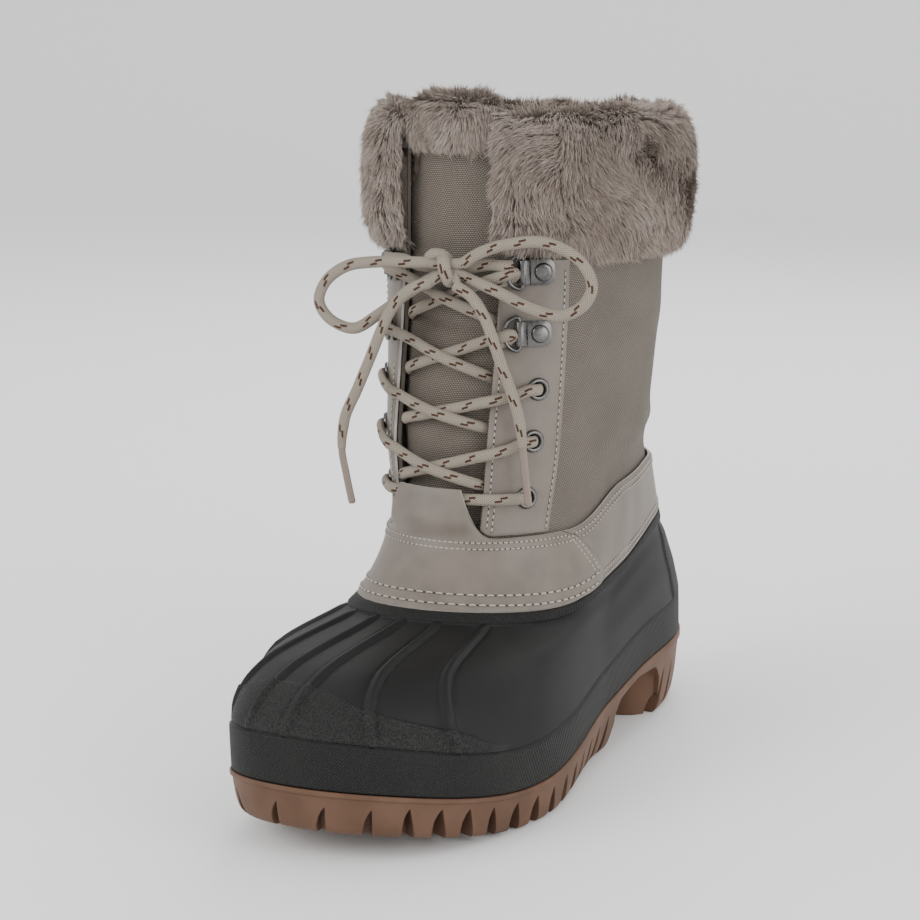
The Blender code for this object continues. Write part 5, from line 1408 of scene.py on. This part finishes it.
# %% Clips, rivets and D-rings
RING_REACH, RING_TALL, RING_WIRE = 6.4, 6.6, 0.85
RIVET_DOME = ((3.6, 1.3), (3.65, 1.9), (3.5, 2.4), (3.2, 2.75), (2.75, 2.95), (2.1, 3.08), (1.2, 3.16), (0.01, 3.2))
CLIP_HALF = 4.8                               # half the length of the clip's fold
for word, side in SIDES:
    for k, level in enumerate(RING_LEVELS):
        top = leather_top(level)
        place, out, up, across = frame_at(level, THROAT_MID + side * RIVET_ARC)
        across = across * -side                    # towards the throat
        corner = lambda u, angles: [(-1.9 + 3.1 * math.cos(a), u + 3.1 * math.sin(a)) for a in np.radians(angles)]
        plan = [(6.2, -5.1), (6.2, 5.1)] + corner(2.0, range(90, 181, 15)) + corner(-2.0, range(180, 271, 15))
        plate = prism([place + across * s + up * u for s, u in plan], out, top + 0.45, top + 1.35)
        bar_place, bar_out, bar_up, bar_across = frame_at(level, THROAT_MID + side * BAR_ARC)
        bar_across = bar_across * -side
        bar = bar_place + bar_out * (top + 1.75)
        at_bar = lambda across_by, out_by: bar + bar_across * across_by + bar_out * out_by
        circle = lambda radius, angles: [bar + radius * (math.cos(a) * bar_across + math.sin(a) * bar_out)
                                         for a in np.radians(angles)]
        fold = [at_bar(-3.2, -1.1), at_bar(-3.2, -0.1), at_bar(-2.4, 0.9)]
        fold += circle(2.05, (125, 105, 85, 60, 35, 10, -15, -40))
        fold += circle(1.2, (-40, -10, 30, 70, 110, 150, 180)) + [at_bar(-1.9, -1.1)]
        curl = prism(fold, bar_up, -CLIP_HALF, CLIP_HALF)
        metal_pieces.append(solid_piece(f"ring_clip_{word}_{k + 1}", [plate, curl], [f"clip_{word}_{k + 1}"]))
        dome = [(radius, top + high) for radius, high in RIVET_DOME]
        rings = turned_rings(level, THROAT_MID + side * RIVET_ARC, dome, 36)[:, :-1]
        metal_pieces.append(piece(f"rivet_{word}_{k + 1}", rings.reshape(-1, 3),
                                  [grid_faces(*rings.shape[:2], turned=True)], gunmetal, sharp=50))
        bow = [bar + bar_up * RING_TALL * math.sin(a) + bar_across * RING_REACH * math.cos(a) ** 0.8
               + bar_out * 0.8 * math.cos(a) for a in np.linspace(-math.pi / 2 + 0.001, math.pi / 2 - 0.001, 37)]
        wire = np.array(bow + [bar + bar_up * u for u in (5.8, 4.6, 3.0, 0.0, -3.0, -4.6, -5.8)] + bow[:1])
        for _ in range(2):
            wire[1:-1] = 0.25 * wire[:-2] + 0.5 * wire[1:-1] + 0.25 * wire[2:]
        wire[0] = wire[-1] = 0.5 * (wire[1] + wire[-2])
        wire_points, wire_faces, _ = cord_mesh(wire, np.tile(bar_out, (len(wire), 1)), 2 * RING_WIRE, 2 * RING_WIRE)
        metal_pieces.append(piece(f"wire_ring_{word}_{k + 1}", wire_points, [wire_faces], gunmetal,
                                  [f"ring_{word}_{k + 1}"], sharp=0))
print("hardware:", len(metal_pieces), "pieces,", triangles(*metal_pieces), "triangles")

# %% [markdown]
# ## The stitching
#
# A stitch is a short fat capsule of thread that dips into a needle hole at each end, where a dark disc of painted
# shade marks the hole.
# Each seam is a line in the boot's own terms, a level and a place round it, with capsules at a steady step along it.
# All stitches are one mesh and all dark discs of painted shade another, because a thousand small objects would be
# slow.

# %% One stitch, and a row of them
CAPSULE = [(t, 0.5 * math.sin(math.pi * (0.08 + 0.84 * t)) ** 0.5) for t in (0.0, 0.12, 0.5, 0.88, 1.0)]
CAPSULE_FACES = np.array([(6 * i + j, 6 * i + (j + 1) % 6, 6 * i + 6 + (j + 1) % 6, 6 * i + 6 + j)
                          for i in range(len(CAPSULE) - 1) for j in range(6)])
BULGE, SUNK_IN = 0.30, 0.08                   # how far a stitch stands out in its middle and sinks at its ends
thread_parts, hole_shade_parts = [], []


def seam(line, pitch, long, thick):
    """Stitches along a dense line of (place, outward), pitch apart."""
    places, outs = line
    done = run_of(places)
    count = int(done[-1] / pitch)
    read = lambda values, at: np.stack([np.interp(at, done, values[:, k]) for k in range(3)], -1)
    for k in range(count):
        start = (k + 0.5 - long / pitch / 2) * pitch
        a, b = read(places, start), read(places, start + long)
        out = read(outs, start + long / 2)
        out = out / np.linalg.norm(out)
        axis = b - a
        along = axis / np.linalg.norm(axis)
        side = np.cross(out, along)
        angle = np.arange(6) * math.pi / 3
        core = lambda t: a + axis * t + out * (BULGE * math.sin(math.pi * t) - SUNK_IN)
        spoke = lambda w: math.cos(w) * side + 0.8 * math.sin(w) * out
        rings = [core(t) + (thick * r) * spoke(w) for t, r in CAPSULE for w in angle]
        thread_parts.append((np.array(rings), CAPSULE_FACES))
        # A flat dark disc at each end stands in for the shade inside the needle hole.
        for end, sign in ((a, -1), (b, 1)):
            centre = end + sign * along * 0.18 * thick + out * 0.03
            ring = [centre + 0.62 * thick * (1.15 * math.cos(w) * along + 0.8 * math.sin(w) * side) for w in angle]
            hole_shade_parts.append((np.array(ring), np.array([(0, 1, 2, 3), (0, 3, 4, 5)])))


print("a stitch has", len(CAPSULE_FACES), "faces")


# %% Seams of the bands
def beside_edge(distance, low):
    """The level that is so many millimetres from a band's top edge, or with low from its bottom edge."""
    return BAND_LOW + distance / BAND_TALL if low else BANDTOP - distance / BAND_TALL


def vamp_line(distance, low=False):
    """A line along the vamp's band."""
    share = np.linspace(-0.985, 0.985, 400)
    arc = share * END_TURN * ARC_PER_TURN
    level = np.full(share.shape, beside_edge(distance, low))
    turn = share * band_end(level)
    lift = tab_rise(arc, level)
    above = level - BAND_LOW
    sag = 0.25 * np.sin(arc / 9.0 + 3 * above) * np.sin(math.pi * above / (BANDTOP - BAND_LOW))
    return S(level, turn, 0.45 + lift + sag), normal(level, turn)


def end_line(side, inset):
    """A line down the vamp band's rounded end."""
    level = np.linspace(4.12, BAND_LOW + 0.25, 120)
    turn = side * (band_end(level) - inset)
    return S(level, turn, np.full(level.shape, 0.42)), normal(level, turn)


for distance in (1.7, 3.9):
    seam(vamp_line(distance), 2.25, 1.7, 0.62)
for distance in (2.6, 6.4):
    seam(vamp_line(distance, low=True), 4.1, 3.0, 0.80)
for side in (1, -1):
    for inset in (0.030, 0.066):
        seam(end_line(side, inset), 2.25, 1.7, 0.62)


def heel_line(distance, low):
    """A line along the heel's band."""
    share = np.linspace(0.004, 0.996, 500)
    level = np.full(share.shape, beside_edge(distance, low))
    start = band_end(level) + HEEL_GAP
    turn = start + share * (2 * math.pi - 2 * start)
    return S(level, turn, np.full(level.shape, -0.18)), normal(level, turn)


for distance, low in ((1.7, False), (3.9, False), (2.2, True), (4.6, True)):
    seam(heel_line(distance, low), 2.3, 1.7, 0.62)
print("seams of the bands:", len(thread_parts), "stitches")


# %% Seams of the eyestays
def eyestay_line(side, from_edge, low, high, outer_edge):
    """A line down an eyestay, so many millimetres from its outer edge or from the throat's."""
    rise = np.linspace(low, high, 260)
    near, far = eyestay_edges(rise)
    away = far - from_edge if outer_edge else near + from_edge
    level, turn = on_eyestay(rise, THROAT_MID + side * away + 0 * rise)
    return S(level, turn, shaft_outward(level) + EYESTAY_CLEAR + LEATHER + 0.05), normal(level, turn)


for word, side in SIDES:
    seam(eyestay_line(side, 2.2, 0.01, 0.985, True), 2.6, 1.7, 0.60)
    seam(eyestay_line(side, 2.4, 0.02, 0.60, False), 2.6, 1.7, 0.60)
    seam(eyestay_line(side, 4.6, 0.01, 0.12, False), 2.6, 1.7, 0.60)
points, faces = gather(thread_parts)
stitches = piece("stitches", points, [faces], thread, sharp=0)
# The dark discs of painted shade at the needle holes.
points, faces = gather(hole_shade_parts)
holes = piece("painted_hole_shades", points, [faces], painted_hole_shade, sharp=0)
print(len(thread_parts), "stitches:", triangles(stitches, holes), "triangles")

# %% [markdown]
# ## The fur
#
# The fleece is turned down over the rim into a deep cuff, and the top of the tongue carries a roll of it.
# It is a dense plush: many thin blades that stand half up, so that mostly their pale tips show; each blade is painted
# darker towards its root, as painted shade deep in the pile.
# They grow from a hide that is sunk under the cuff's form, hang down on its two sides and part along its fold.
# Each blade is a tapering strip in two steps, and all blades of a region are one mesh.
# Neighbours close up a little at their tips, in tufts of one or two millimetres, and whole patches lean together.
# Broad changes of colour paint shade into the swirls and light onto the crown and the front edges.

# %% The cuff's own form
CUFF_FRONT, CUFF_EDGE, CUFF_CROWN = 211.5, 207.0, 267.5          # heights of the cuff's lower edge and its fold
INNER_FRONT, INNER_LEG = 250.9, 228.0         # how far down it reaches inside, by the throat and round the leg
FLAP_START, LEG_START = 21.0, 42.0            # distances from the throat's middle
COLLAR_Z, TOP_Z = 208.0, 267.0                # heights of the last's two top levels
RIM_GIRTH = girth(COLLAR)


def by_height(z, turn, outward):
    """A point of the leg at this height, above the collar."""
    level = np.clip(COLLAR + (z - COLLAR_Z) * (TOP - COLLAR) / (TOP_Z - COLLAR_Z), COLLAR - 0.2, TOP)
    place = S(level, turn, outward)
    place[..., 2] = z
    return place


def cuff_outline(away, along, sunk):
    """The folded cuff at one place, from its lower edge over the crown and down inside, sunk under its fur."""
    end = float(smooth((away - FLAP_START) / 7.0) * 0.45 + 0.55)
    leg = float(smooth((away - LEG_START) / 8.0))
    low = CUFF_EDGE + (CUFF_FRONT - CUFF_EDGE) * (1 - float(smooth((away - 48) / 14))) + sunk * 0.6
    wave = 0.9 * math.sin(along * 0.19) + 0.6 * math.sin(along * 0.083 + 1.0)
    crown = CUFF_CROWN - 2.5 * float(smooth((away - 60) / 60)) + wave - sunk * 0.8
    thick = lambda value: max(end * (value + 0.6 * wave) - sunk, 1.2)
    inside = 4.4 + 4.6 * leg - sunk
    inner_low = INNER_FRONT + (INNER_LEG - INNER_FRONT) * leg
    return [(0.8, low + 1.5), (thick(6.0), low), (thick(9.4), low + 5.5), (thick(11.2), low + 15),
            (thick(11.6), low + 27), (thick(11.2), low + 39), (thick(9.4), 256.5), (thick(7.0), crown - 3.0),
            (0.0, crown), (-inside * 0.7, crown - 3.5), (-inside - 0.3, 256.0), (-inside + 0.5, inner_low + 2)]


print("the rim is", round(RIM_GIRTH), "mm round")

# %% The hide under the cuff's fur
SUNK = 2.8                                    # how deep the hide lies under the ends of the fur
cuff_along = np.linspace(FLAP_START, RIM_GIRTH - FLAP_START, 241)
cuff_rows = 44
cuff_grid = np.zeros((cuff_rows, len(cuff_along), 3))
for column, along in enumerate(cuff_along):
    away = min(along, RIM_GIRTH - along)
    turn = float(turn_at(COLLAR, THROAT_MID + along))
    outline = through(cuff_outline(away, along, SUNK), cuff_rows, 2)
    cuff_grid[:, column] = by_height(outline[:, 1], np.full(cuff_rows, turn), outline[:, 0])
hide = Finish("fur_hide", (0.12, 0.094, 0.078), 0.95)
patches = hide.noise(hide.place(), 3.0, 3.0)
hide.set(**{"Base Color": hide.mix(patches, (0.095, 0.073, 0.059), (0.16, 0.128, 0.108))})
hide = hide.material
piece("cuff_hide", cuff_grid.reshape(-1, 3), [grid_faces(*cuff_grid.shape[:2])], hide, ["fur_cuff"], sharp=0)
print("cuff:", round(RIM_GIRTH - 2 * FLAP_START), "mm round")

# %% The roll on the tongue
roll_away = np.linspace(-19.0, 19.0, 41)
roll_rows = 26
face, sunk = -4.0, 2.0                        # where the tongue's front is, and how deep the hide lies
roll_grid = np.zeros((roll_rows, len(roll_away), 3))
for column, away in enumerate(roll_away):
    end = math.sqrt(max(1 - (away / 20.5) ** 4, 0.0))
    turn = float(turn_at(COLLAR, THROAT_MID + away))
    outline = [(face + 0.8, 252.5), (face + 4.5 * end - sunk * 0.5, 252.5), (face + 8.5 * end - sunk, 258.0),
               (face + 8.0 * end - sunk, 264.0), (face + 4.0 * end, 264.5 + 4.5 * end),
               (face - 3.0, 264.5 + 5.5 * end), (-8.6 - 3.5 * end, 263 + 3 * end),
               (-8.6 - 4.0 * end, 256.0), (-8.6 - 3.0 * end, 244.0)]
    outline = through(outline, roll_rows, 2)
    roll_grid[:, column] = by_height(outline[:, 1], np.full(roll_rows, turn), outline[:, 0])
piece("tongue_roll_hide", roll_grid.reshape(-1, 3), [grid_faces(*roll_grid.shape[:2])], hide,
      ["tongue_fur"], sharp=0)
print("roll:", round(float(np.ptp(roll_away))), "mm wide")


# %% The fur's colour
def fur_finish():
    f = Finish("taupe_fur", (0.22, 0.18, 0.15), 0.8, Specular_IOR_Level=0.2, Sheen_Weight=0.3, Sheen_Roughness=0.5)
    f.set(**{"Sheen Tint": (0.80, 0.70, 0.62, 1.0)})
    tip, tone_and_painted_light = f.field("tip"), f.field("tone_and_painted_light")
    # Painted shade and light: each blade is darker towards its root, as painted shade deep in the pile, and
    # tone_and_painted_light mixes random colour with painted light and shade.
    root = f.mix(tone_and_painted_light, (0.105, 0.079, 0.064), (0.190, 0.156, 0.132))
    end = f.mix(tone_and_painted_light, (0.285, 0.228, 0.192), (0.450, 0.390, 0.342))
    f.set(**{"Base Color": f.mix(f.between(tip, 0.1, 0.95), root, end)})
    return f.material


fur = fur_finish()
print("fur:", len(fur.node_tree.nodes), "nodes")


# %% Roots spread over a grid
def spread(grid, count, random):
    """Roots on a grid, as many on each square millimetre.

    It gives their places, their outward, along and up directions, and their column and row on the grid.
    """
    a, b, c, d = grid[:-1, :-1], grid[:-1, 1:], grid[1:, 1:], grid[1:, :-1]
    area = np.linalg.norm(np.cross(c - a, d - b), axis=2)
    pick = random.choice(area.size, count, p=(area / area.sum()).ravel())
    i, j = np.unravel_index(pick, area.shape)
    u, v = random.random((2, count, 1))
    low, high = a[i, j] + u * (b[i, j] - a[i, j]), d[i, j] + u * (c[i, j] - d[i, j])
    along, up = b[i, j] - a[i, j], high - low
    along /= np.linalg.norm(along, axis=1, keepdims=True)
    up /= np.linalg.norm(up, axis=1, keepdims=True)
    out = np.cross(along, up)
    out /= np.linalg.norm(out, axis=1, keepdims=True)
    return low + v * (high - low), out, along, up, j + u[:, 0], i + v[:, 0]


print("roots lie on grids of", cuff_grid.shape[:2], "and", roll_grid.shape[:2], "points")


# %% Blades of fur
TUFT_ROW = 2.6            # millimetres between two rows of a fur grid, nearly
BLADE_STEPS = (0.0, 0.5, 1.0)                 # how far along a blade its points are


def blades(name, roots, out, comb, length, wide, tone_and_painted_light, clump, random):
    """Tapering strips that rise from their roots, lie over along comb, and close up with their tuft."""
    count = len(roots)
    in_tuft = np.maximum(np.bincount(clump), 1)[:, None]
    middle = np.stack([np.bincount(clump, roots[:, k]) for k in range(3)], -1) / in_tuft
    pull = (middle[clump] - roots) * (0.25 + 0.75 * np.linalg.norm(comb, axis=1, keepdims=True) ** 2)
    free = random.normal(size=(count, 3))
    lift = (0.85 + 0.25 * random.random((count, 1))) * (1.5 - 0.5 * np.linalg.norm(comb, axis=1, keepdims=True))
    side = np.cross(comb + 0.2 * out + 0.55 * free, out + 0.5 * random.normal(size=(count, 3)))
    side /= np.linalg.norm(side, axis=1, keepdims=True)
    points, tips = [], []
    for t in BLADE_STEPS:
        lie = out * lift * (t - 0.44 * t * t) + comb * (0.30 * t + 0.42 * t * t) + free * 0.10 * t
        centre = roots + length[:, None] * lie + pull * (0.55 * t * t)
        half = side * (wide[:, None] * (1 - t ** 1.7) / 2)
        points += [centre] if t == 1.0 else [centre - half, centre + half]
        tips += [t] if t == 1.0 else [t, t]
    size = len(points)
    first = np.arange(count)[:, None] * size
    quads = np.concatenate([first + np.array([[2 * k, 2 * k + 1, 2 * k + 3, 2 * k + 2]])
                            for k in range(len(BLADE_STEPS) - 2)])
    ends = first + np.array([[size - 3, size - 2, size - 1]])
    points = np.stack(points, 1).reshape(-1, 3)
    fields = {"tip": np.tile(tips, count), "tone_and_painted_light": np.repeat(tone_and_painted_light, size)}
    made = piece(name, points, [quads, ends], fur, fields=fields, sharp=0)
    print(name + ":", count, "blades,", triangles(made), "triangles")


print("a blade has", 2 * len(BLADE_STEPS) - 1, "points")


# %% The way the fur lies, and its tones
FUR_SHARE = 1.0
SWIRLS = (                # distance round the rim, height, reach and turn, where the fur lies in an arc
    (58.0, 236.0, 11.0, 1.35), (80.0, 244.0, 9.0, -1.0), (118.0, 238.0, 12.0, -1.2), (168.0, 232.0, 14.0, 1.1),
    (RIM_GIRTH - 62.0, 238.0, 11.0, -1.3), (RIM_GIRTH - 118.0, 230.0, 13.0, 1.2), (40.0, 250.0, 8.0, -0.8))


def comb_of(z, round_rim, along, up):
    """The way the fur lies: it hangs down on both sides, stands on the crown, and turns in the swirls."""
    lying = up[:, 2] + (1 - up[:, 2] ** 2) * (0.34 * np.sin(round_rim / 3.4) + 0.28 * np.sin(round_rim / 8.3 + 1.0))
    down = np.clip(1.05 * lying, -1, 1)
    angle = 0.42 * np.sin(round_rim / 12.0 + 1.0) + 0.30 * np.sin(round_rim / 27.0 + z / 17.0)
    angle += 0.28 * np.sin(z / 6.5 + round_rim / 8.0)
    for at, height, reach, turn in SWIRLS:
        angle += turn * np.exp(-((round_rim - at) ** 2 + (z - height) ** 2) / (2 * reach**2)) * (up[:, 2] > 0)
    comb = -up * (np.cos(angle) * down)[:, None] + along * np.sin(angle)[:, None]
    edge = smooth(1 - (round_rim - FLAP_START) / 9.0) - smooth(1 - (RIM_GIRTH - FLAP_START - round_rim) / 9.0)
    return comb - along * (0.8 * edge)[:, None]


def broad_tone_and_painted_light_of(z, round_rim):
    """Broad soft changes of colour over a wavy pattern: painted shade, darker in the swirls and low down, and painted
    light, lighter at the front edges and the crown.
    """
    broad_tone_and_painted_light = 0.10 * np.sin(round_rim / 5.2 + 0.7 * np.sin(z / 9.0)) + 0.09 * np.sin(round_rim / 13.0 + z / 7.0)
    # Painted shade in the swirls.
    for at, height, reach, _ in SWIRLS:
        broad_tone_and_painted_light -= 0.20 * np.exp(-((round_rim - at) ** 2 + (z - height) ** 2) / (2 * (1.2 * reach) ** 2))
    # Painted light near the two front edges and on the crown.
    away = np.minimum(round_rim, RIM_GIRTH - round_rim) - FLAP_START
    return broad_tone_and_painted_light + 0.20 * smooth(1 - away / 14.0) + 0.22 * smooth((z - 252.0) / 12.0)


print(len(SWIRLS), "swirls")


# %% Tufts, and fur over a grid
def tufts(u, v, wide, tall, random):
    """Which tuft each root belongs to, on a grid whose rows are shifted at random."""
    wave = 0.6 * tall * (np.sin(u / (1.9 * wide)) + np.sin(u / (4.3 * wide) + 1.0))
    row = np.floor((v - v.min() + wave) / tall + 2).astype(int)
    shift = random.random(row.max() + 2)[row]
    column = np.floor(u / wide + shift).astype(int)
    _, clump = np.unique(row * 10000 + column, return_inverse=True)
    return clump.reshape(-1)


def plush(name, grid, count, long, comb_at, tone_and_painted_light_at, pitch, random):
    """Fur over one grid; comb_at and tone_and_painted_light_at take the roots and where they are, and pitch is a
    column's width. The second gives random changes of colour together with painted light and shade.
    """
    roots, out, along, up, j, i = spread(grid, int(count * FUR_SHARE), random)
    clump = tufts(j * pitch, i * TUFT_ROW, 1.7, 2.1, random)
    patch = tufts(j * pitch, i * TUFT_ROW, 6.5, 6.0, random)
    lean = random.normal(size=(patch.max() + 1, 2)) * 0.24
    comb = comb_at(roots, along, up, j, i) + along * lean[patch, :1] + up * lean[patch, 1:]
    comb /= np.maximum(np.linalg.norm(comb, axis=1, keepdims=True), 1.0)
    spread_of = lambda which, size: size * random.normal(size=which.max() + 1)[which]
    # Painted light and shade from the broad pattern, with random colour for each tuft, each patch and each blade.
    tone_and_painted_light = 0.52 + tone_and_painted_light_at(roots, j) + spread_of(clump, 0.13) + spread_of(patch, 0.08)
    tone_and_painted_light += 0.13 * random.normal(size=len(roots))
    stray = np.where(random.random(len(roots)) < 0.05, 1.22, 1.0)
    length = long * (0.78 + 0.30 * random.random(len(roots))) * (1 + spread_of(patch, 0.07)) * stray
    wide = (0.33 + 0.13 * random.random(len(roots))) / math.sqrt(FUR_SHARE)
    blades(name, roots, out, comb, length, wide, np.clip(tone_and_painted_light, 0, 1), clump, random)


print("share of the blades that this run makes:", FUR_SHARE)


# %% Fur on the cuff
def cuff_fur(name, first, last, count, long, seed):
    """Fur over some of the cuff's rows."""
    step = cuff_along[1] - cuff_along[0]
    rim = lambda j: cuff_along[0] + j * step
    plush(name, cuff_grid[first:last], count, long,
          lambda roots, along, up, j, i: comb_of(roots[:, 2], rim(j), along, up),
          lambda roots, j: broad_tone_and_painted_light_of(roots[:, 2], rim(j)), step, np.random.default_rng(seed))


cuff_fur("cuff_fur_low", 0, 13, 54000, 6.8, 11)
cuff_fur("cuff_fur_high", 12, 25, 54000, 6.8, 12)
cuff_fur("cuff_fur_crown", 24, 34, 46000, 6.4, 13)
cuff_fur("cuff_fur_inside", 33, 44, 24000, 6.4, 14)

# %% Comb the tongue's roll and the two front edges
def roll_comb(roots, along, up, j, i):
    """The roll's fur hangs down both of its sides, and waves a little along it."""
    down = 0.85 * np.sign(up[:, 2:]) * np.sqrt(np.abs(up[:, 2:]))
    return -up * down + along * (0.5 * np.sin(j / 5.0 + i / 6.0))[:, None]


# Painted light: the roll's fur is lighter, with a wave along it.
plush("tongue_roll_fur", roll_grid, 20000, 6.4, roll_comb,
      lambda roots, j: 0.12 + 0.08 * np.sin(j / 3.0), 0.95, np.random.default_rng(21))
for word, column, way in (("outer", 0, -1), ("inner", -1, 1)):
    line = cuff_grid[1:24, column]
    turn = float(turn_at(COLLAR, THROAT_MID + cuff_along[column]))
    back = S(np.full(len(line), COLLAR + 0.4), np.full(len(line), turn), np.full(len(line), 1.0))
    back[:, 2] = line[:, 2]
    grid = np.stack([line + (back - line) * t for t in np.linspace(0, 1, 8)], 1)
    grid = grid if way < 0 else grid[:, ::-1]
    # Painted light: the fur of the front edges is lighter.
    plush("flap_edge_fur_" + word, grid, 8000, 6.2,
          lambda roots, along, up, j, i: along * (0.5 * way) - up * (0.6 - 0.7 * np.sin(i / 3.0))[:, None],
          lambda roots, j: 0.16 + 0.0 * j, 1.5, np.random.default_rng(31 + way))

# %% [markdown]
# ## The studio
#
# The boot stands on white paper in soft light. The paper is flat under the boot and curves up behind it,
# so that no horizon shows. A large lamp in front, high on the left, is the key. A weaker one fills from the right,
# and a third from above and behind separates the fur from the paper.
# The world is white too, and softens every shadow.

# %% White paper, curved up behind
bend = [(2.2 + 1.2 * math.sin(a), 1.2 - 1.2 * math.cos(a)) for a in np.linspace(0, math.pi / 2, 25)]
profile = [(-14.0, 0.0), (-4.0, 0.0)] + bend + [(3.4, 10.0)]
paper_points = [(x, y, z - 0.0003) for y, z in profile for x in (-14.0, 14.0)]
mesh = bpy.data.meshes.new("floor")
mesh.from_pydata(paper_points, [], [(2 * k, 2 * k + 1, 2 * k + 3, 2 * k + 2) for k in range(len(profile) - 1)])
mesh.polygons.foreach_set("use_smooth", np.ones(len(mesh.polygons), bool))
floor = bpy.data.objects.new("floor", mesh)
bpy.context.scene.collection.objects.link(floor)
floor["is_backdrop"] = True
paper = Finish("white_floor", (0.93, 0.93, 0.93), 0.9, Specular_IOR_Level=0.1)
mesh.materials.append(paper.material)
print("white paper, flat under the boot and curved up behind it")


# %% Lamps and sky
def lamp(name, place, aim, size, watts):
    made = bpy.data.objects.new(name, bpy.data.lights.new(name, "AREA"))
    made.data.size, made.data.energy = size, watts
    made.location = place
    made.rotation_mode = "QUATERNION"
    made.rotation_quaternion = (Vector(aim) - Vector(place)).to_track_quat("-Z", "Y")
    bpy.context.scene.collection.objects.link(made)


lamp("key_light", (-0.80, -1.35, 0.95), (0.0, 0.0, 0.12), 0.9, 15.0)
lamp("fill_light", (1.50, -0.30, 0.50), (0.0, 0.0, 0.14), 1.0, 12.0)
lamp("back_light", (-0.3, 1.2, 1.3), (0.0, 0.0, 0.2), 0.9, 12.0)
sky = bpy.data.worlds.new("white_sky")
bpy.context.scene.world = sky
sky.use_nodes = True
background = sky.node_tree.nodes["Background"]
background.inputs["Color"].default_value = (1.0, 1.0, 1.0, 1.0)
background.inputs["Strength"].default_value = 1.15
print("three lamps and a white sky")

# %% [markdown]
# ## The sizes at the end
#
# The dressed boot should keep the size of its solids, so its size is printed, to set beside theirs printed at the
# start. The count of its triangles follows.

# %% Print the sizes
low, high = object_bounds()
{"solids": [list(SOLID_LOW), list(SOLID_HIGH)], "dressed": [list(low), list(high)]}
print("dressed:", [round(1000 * s) for s in high - low], "mm")
shown = [o for o in bpy.context.scene.objects if o.type == "MESH" and not o.hide_render]
print("all pieces:", triangles(*shown), "triangles")
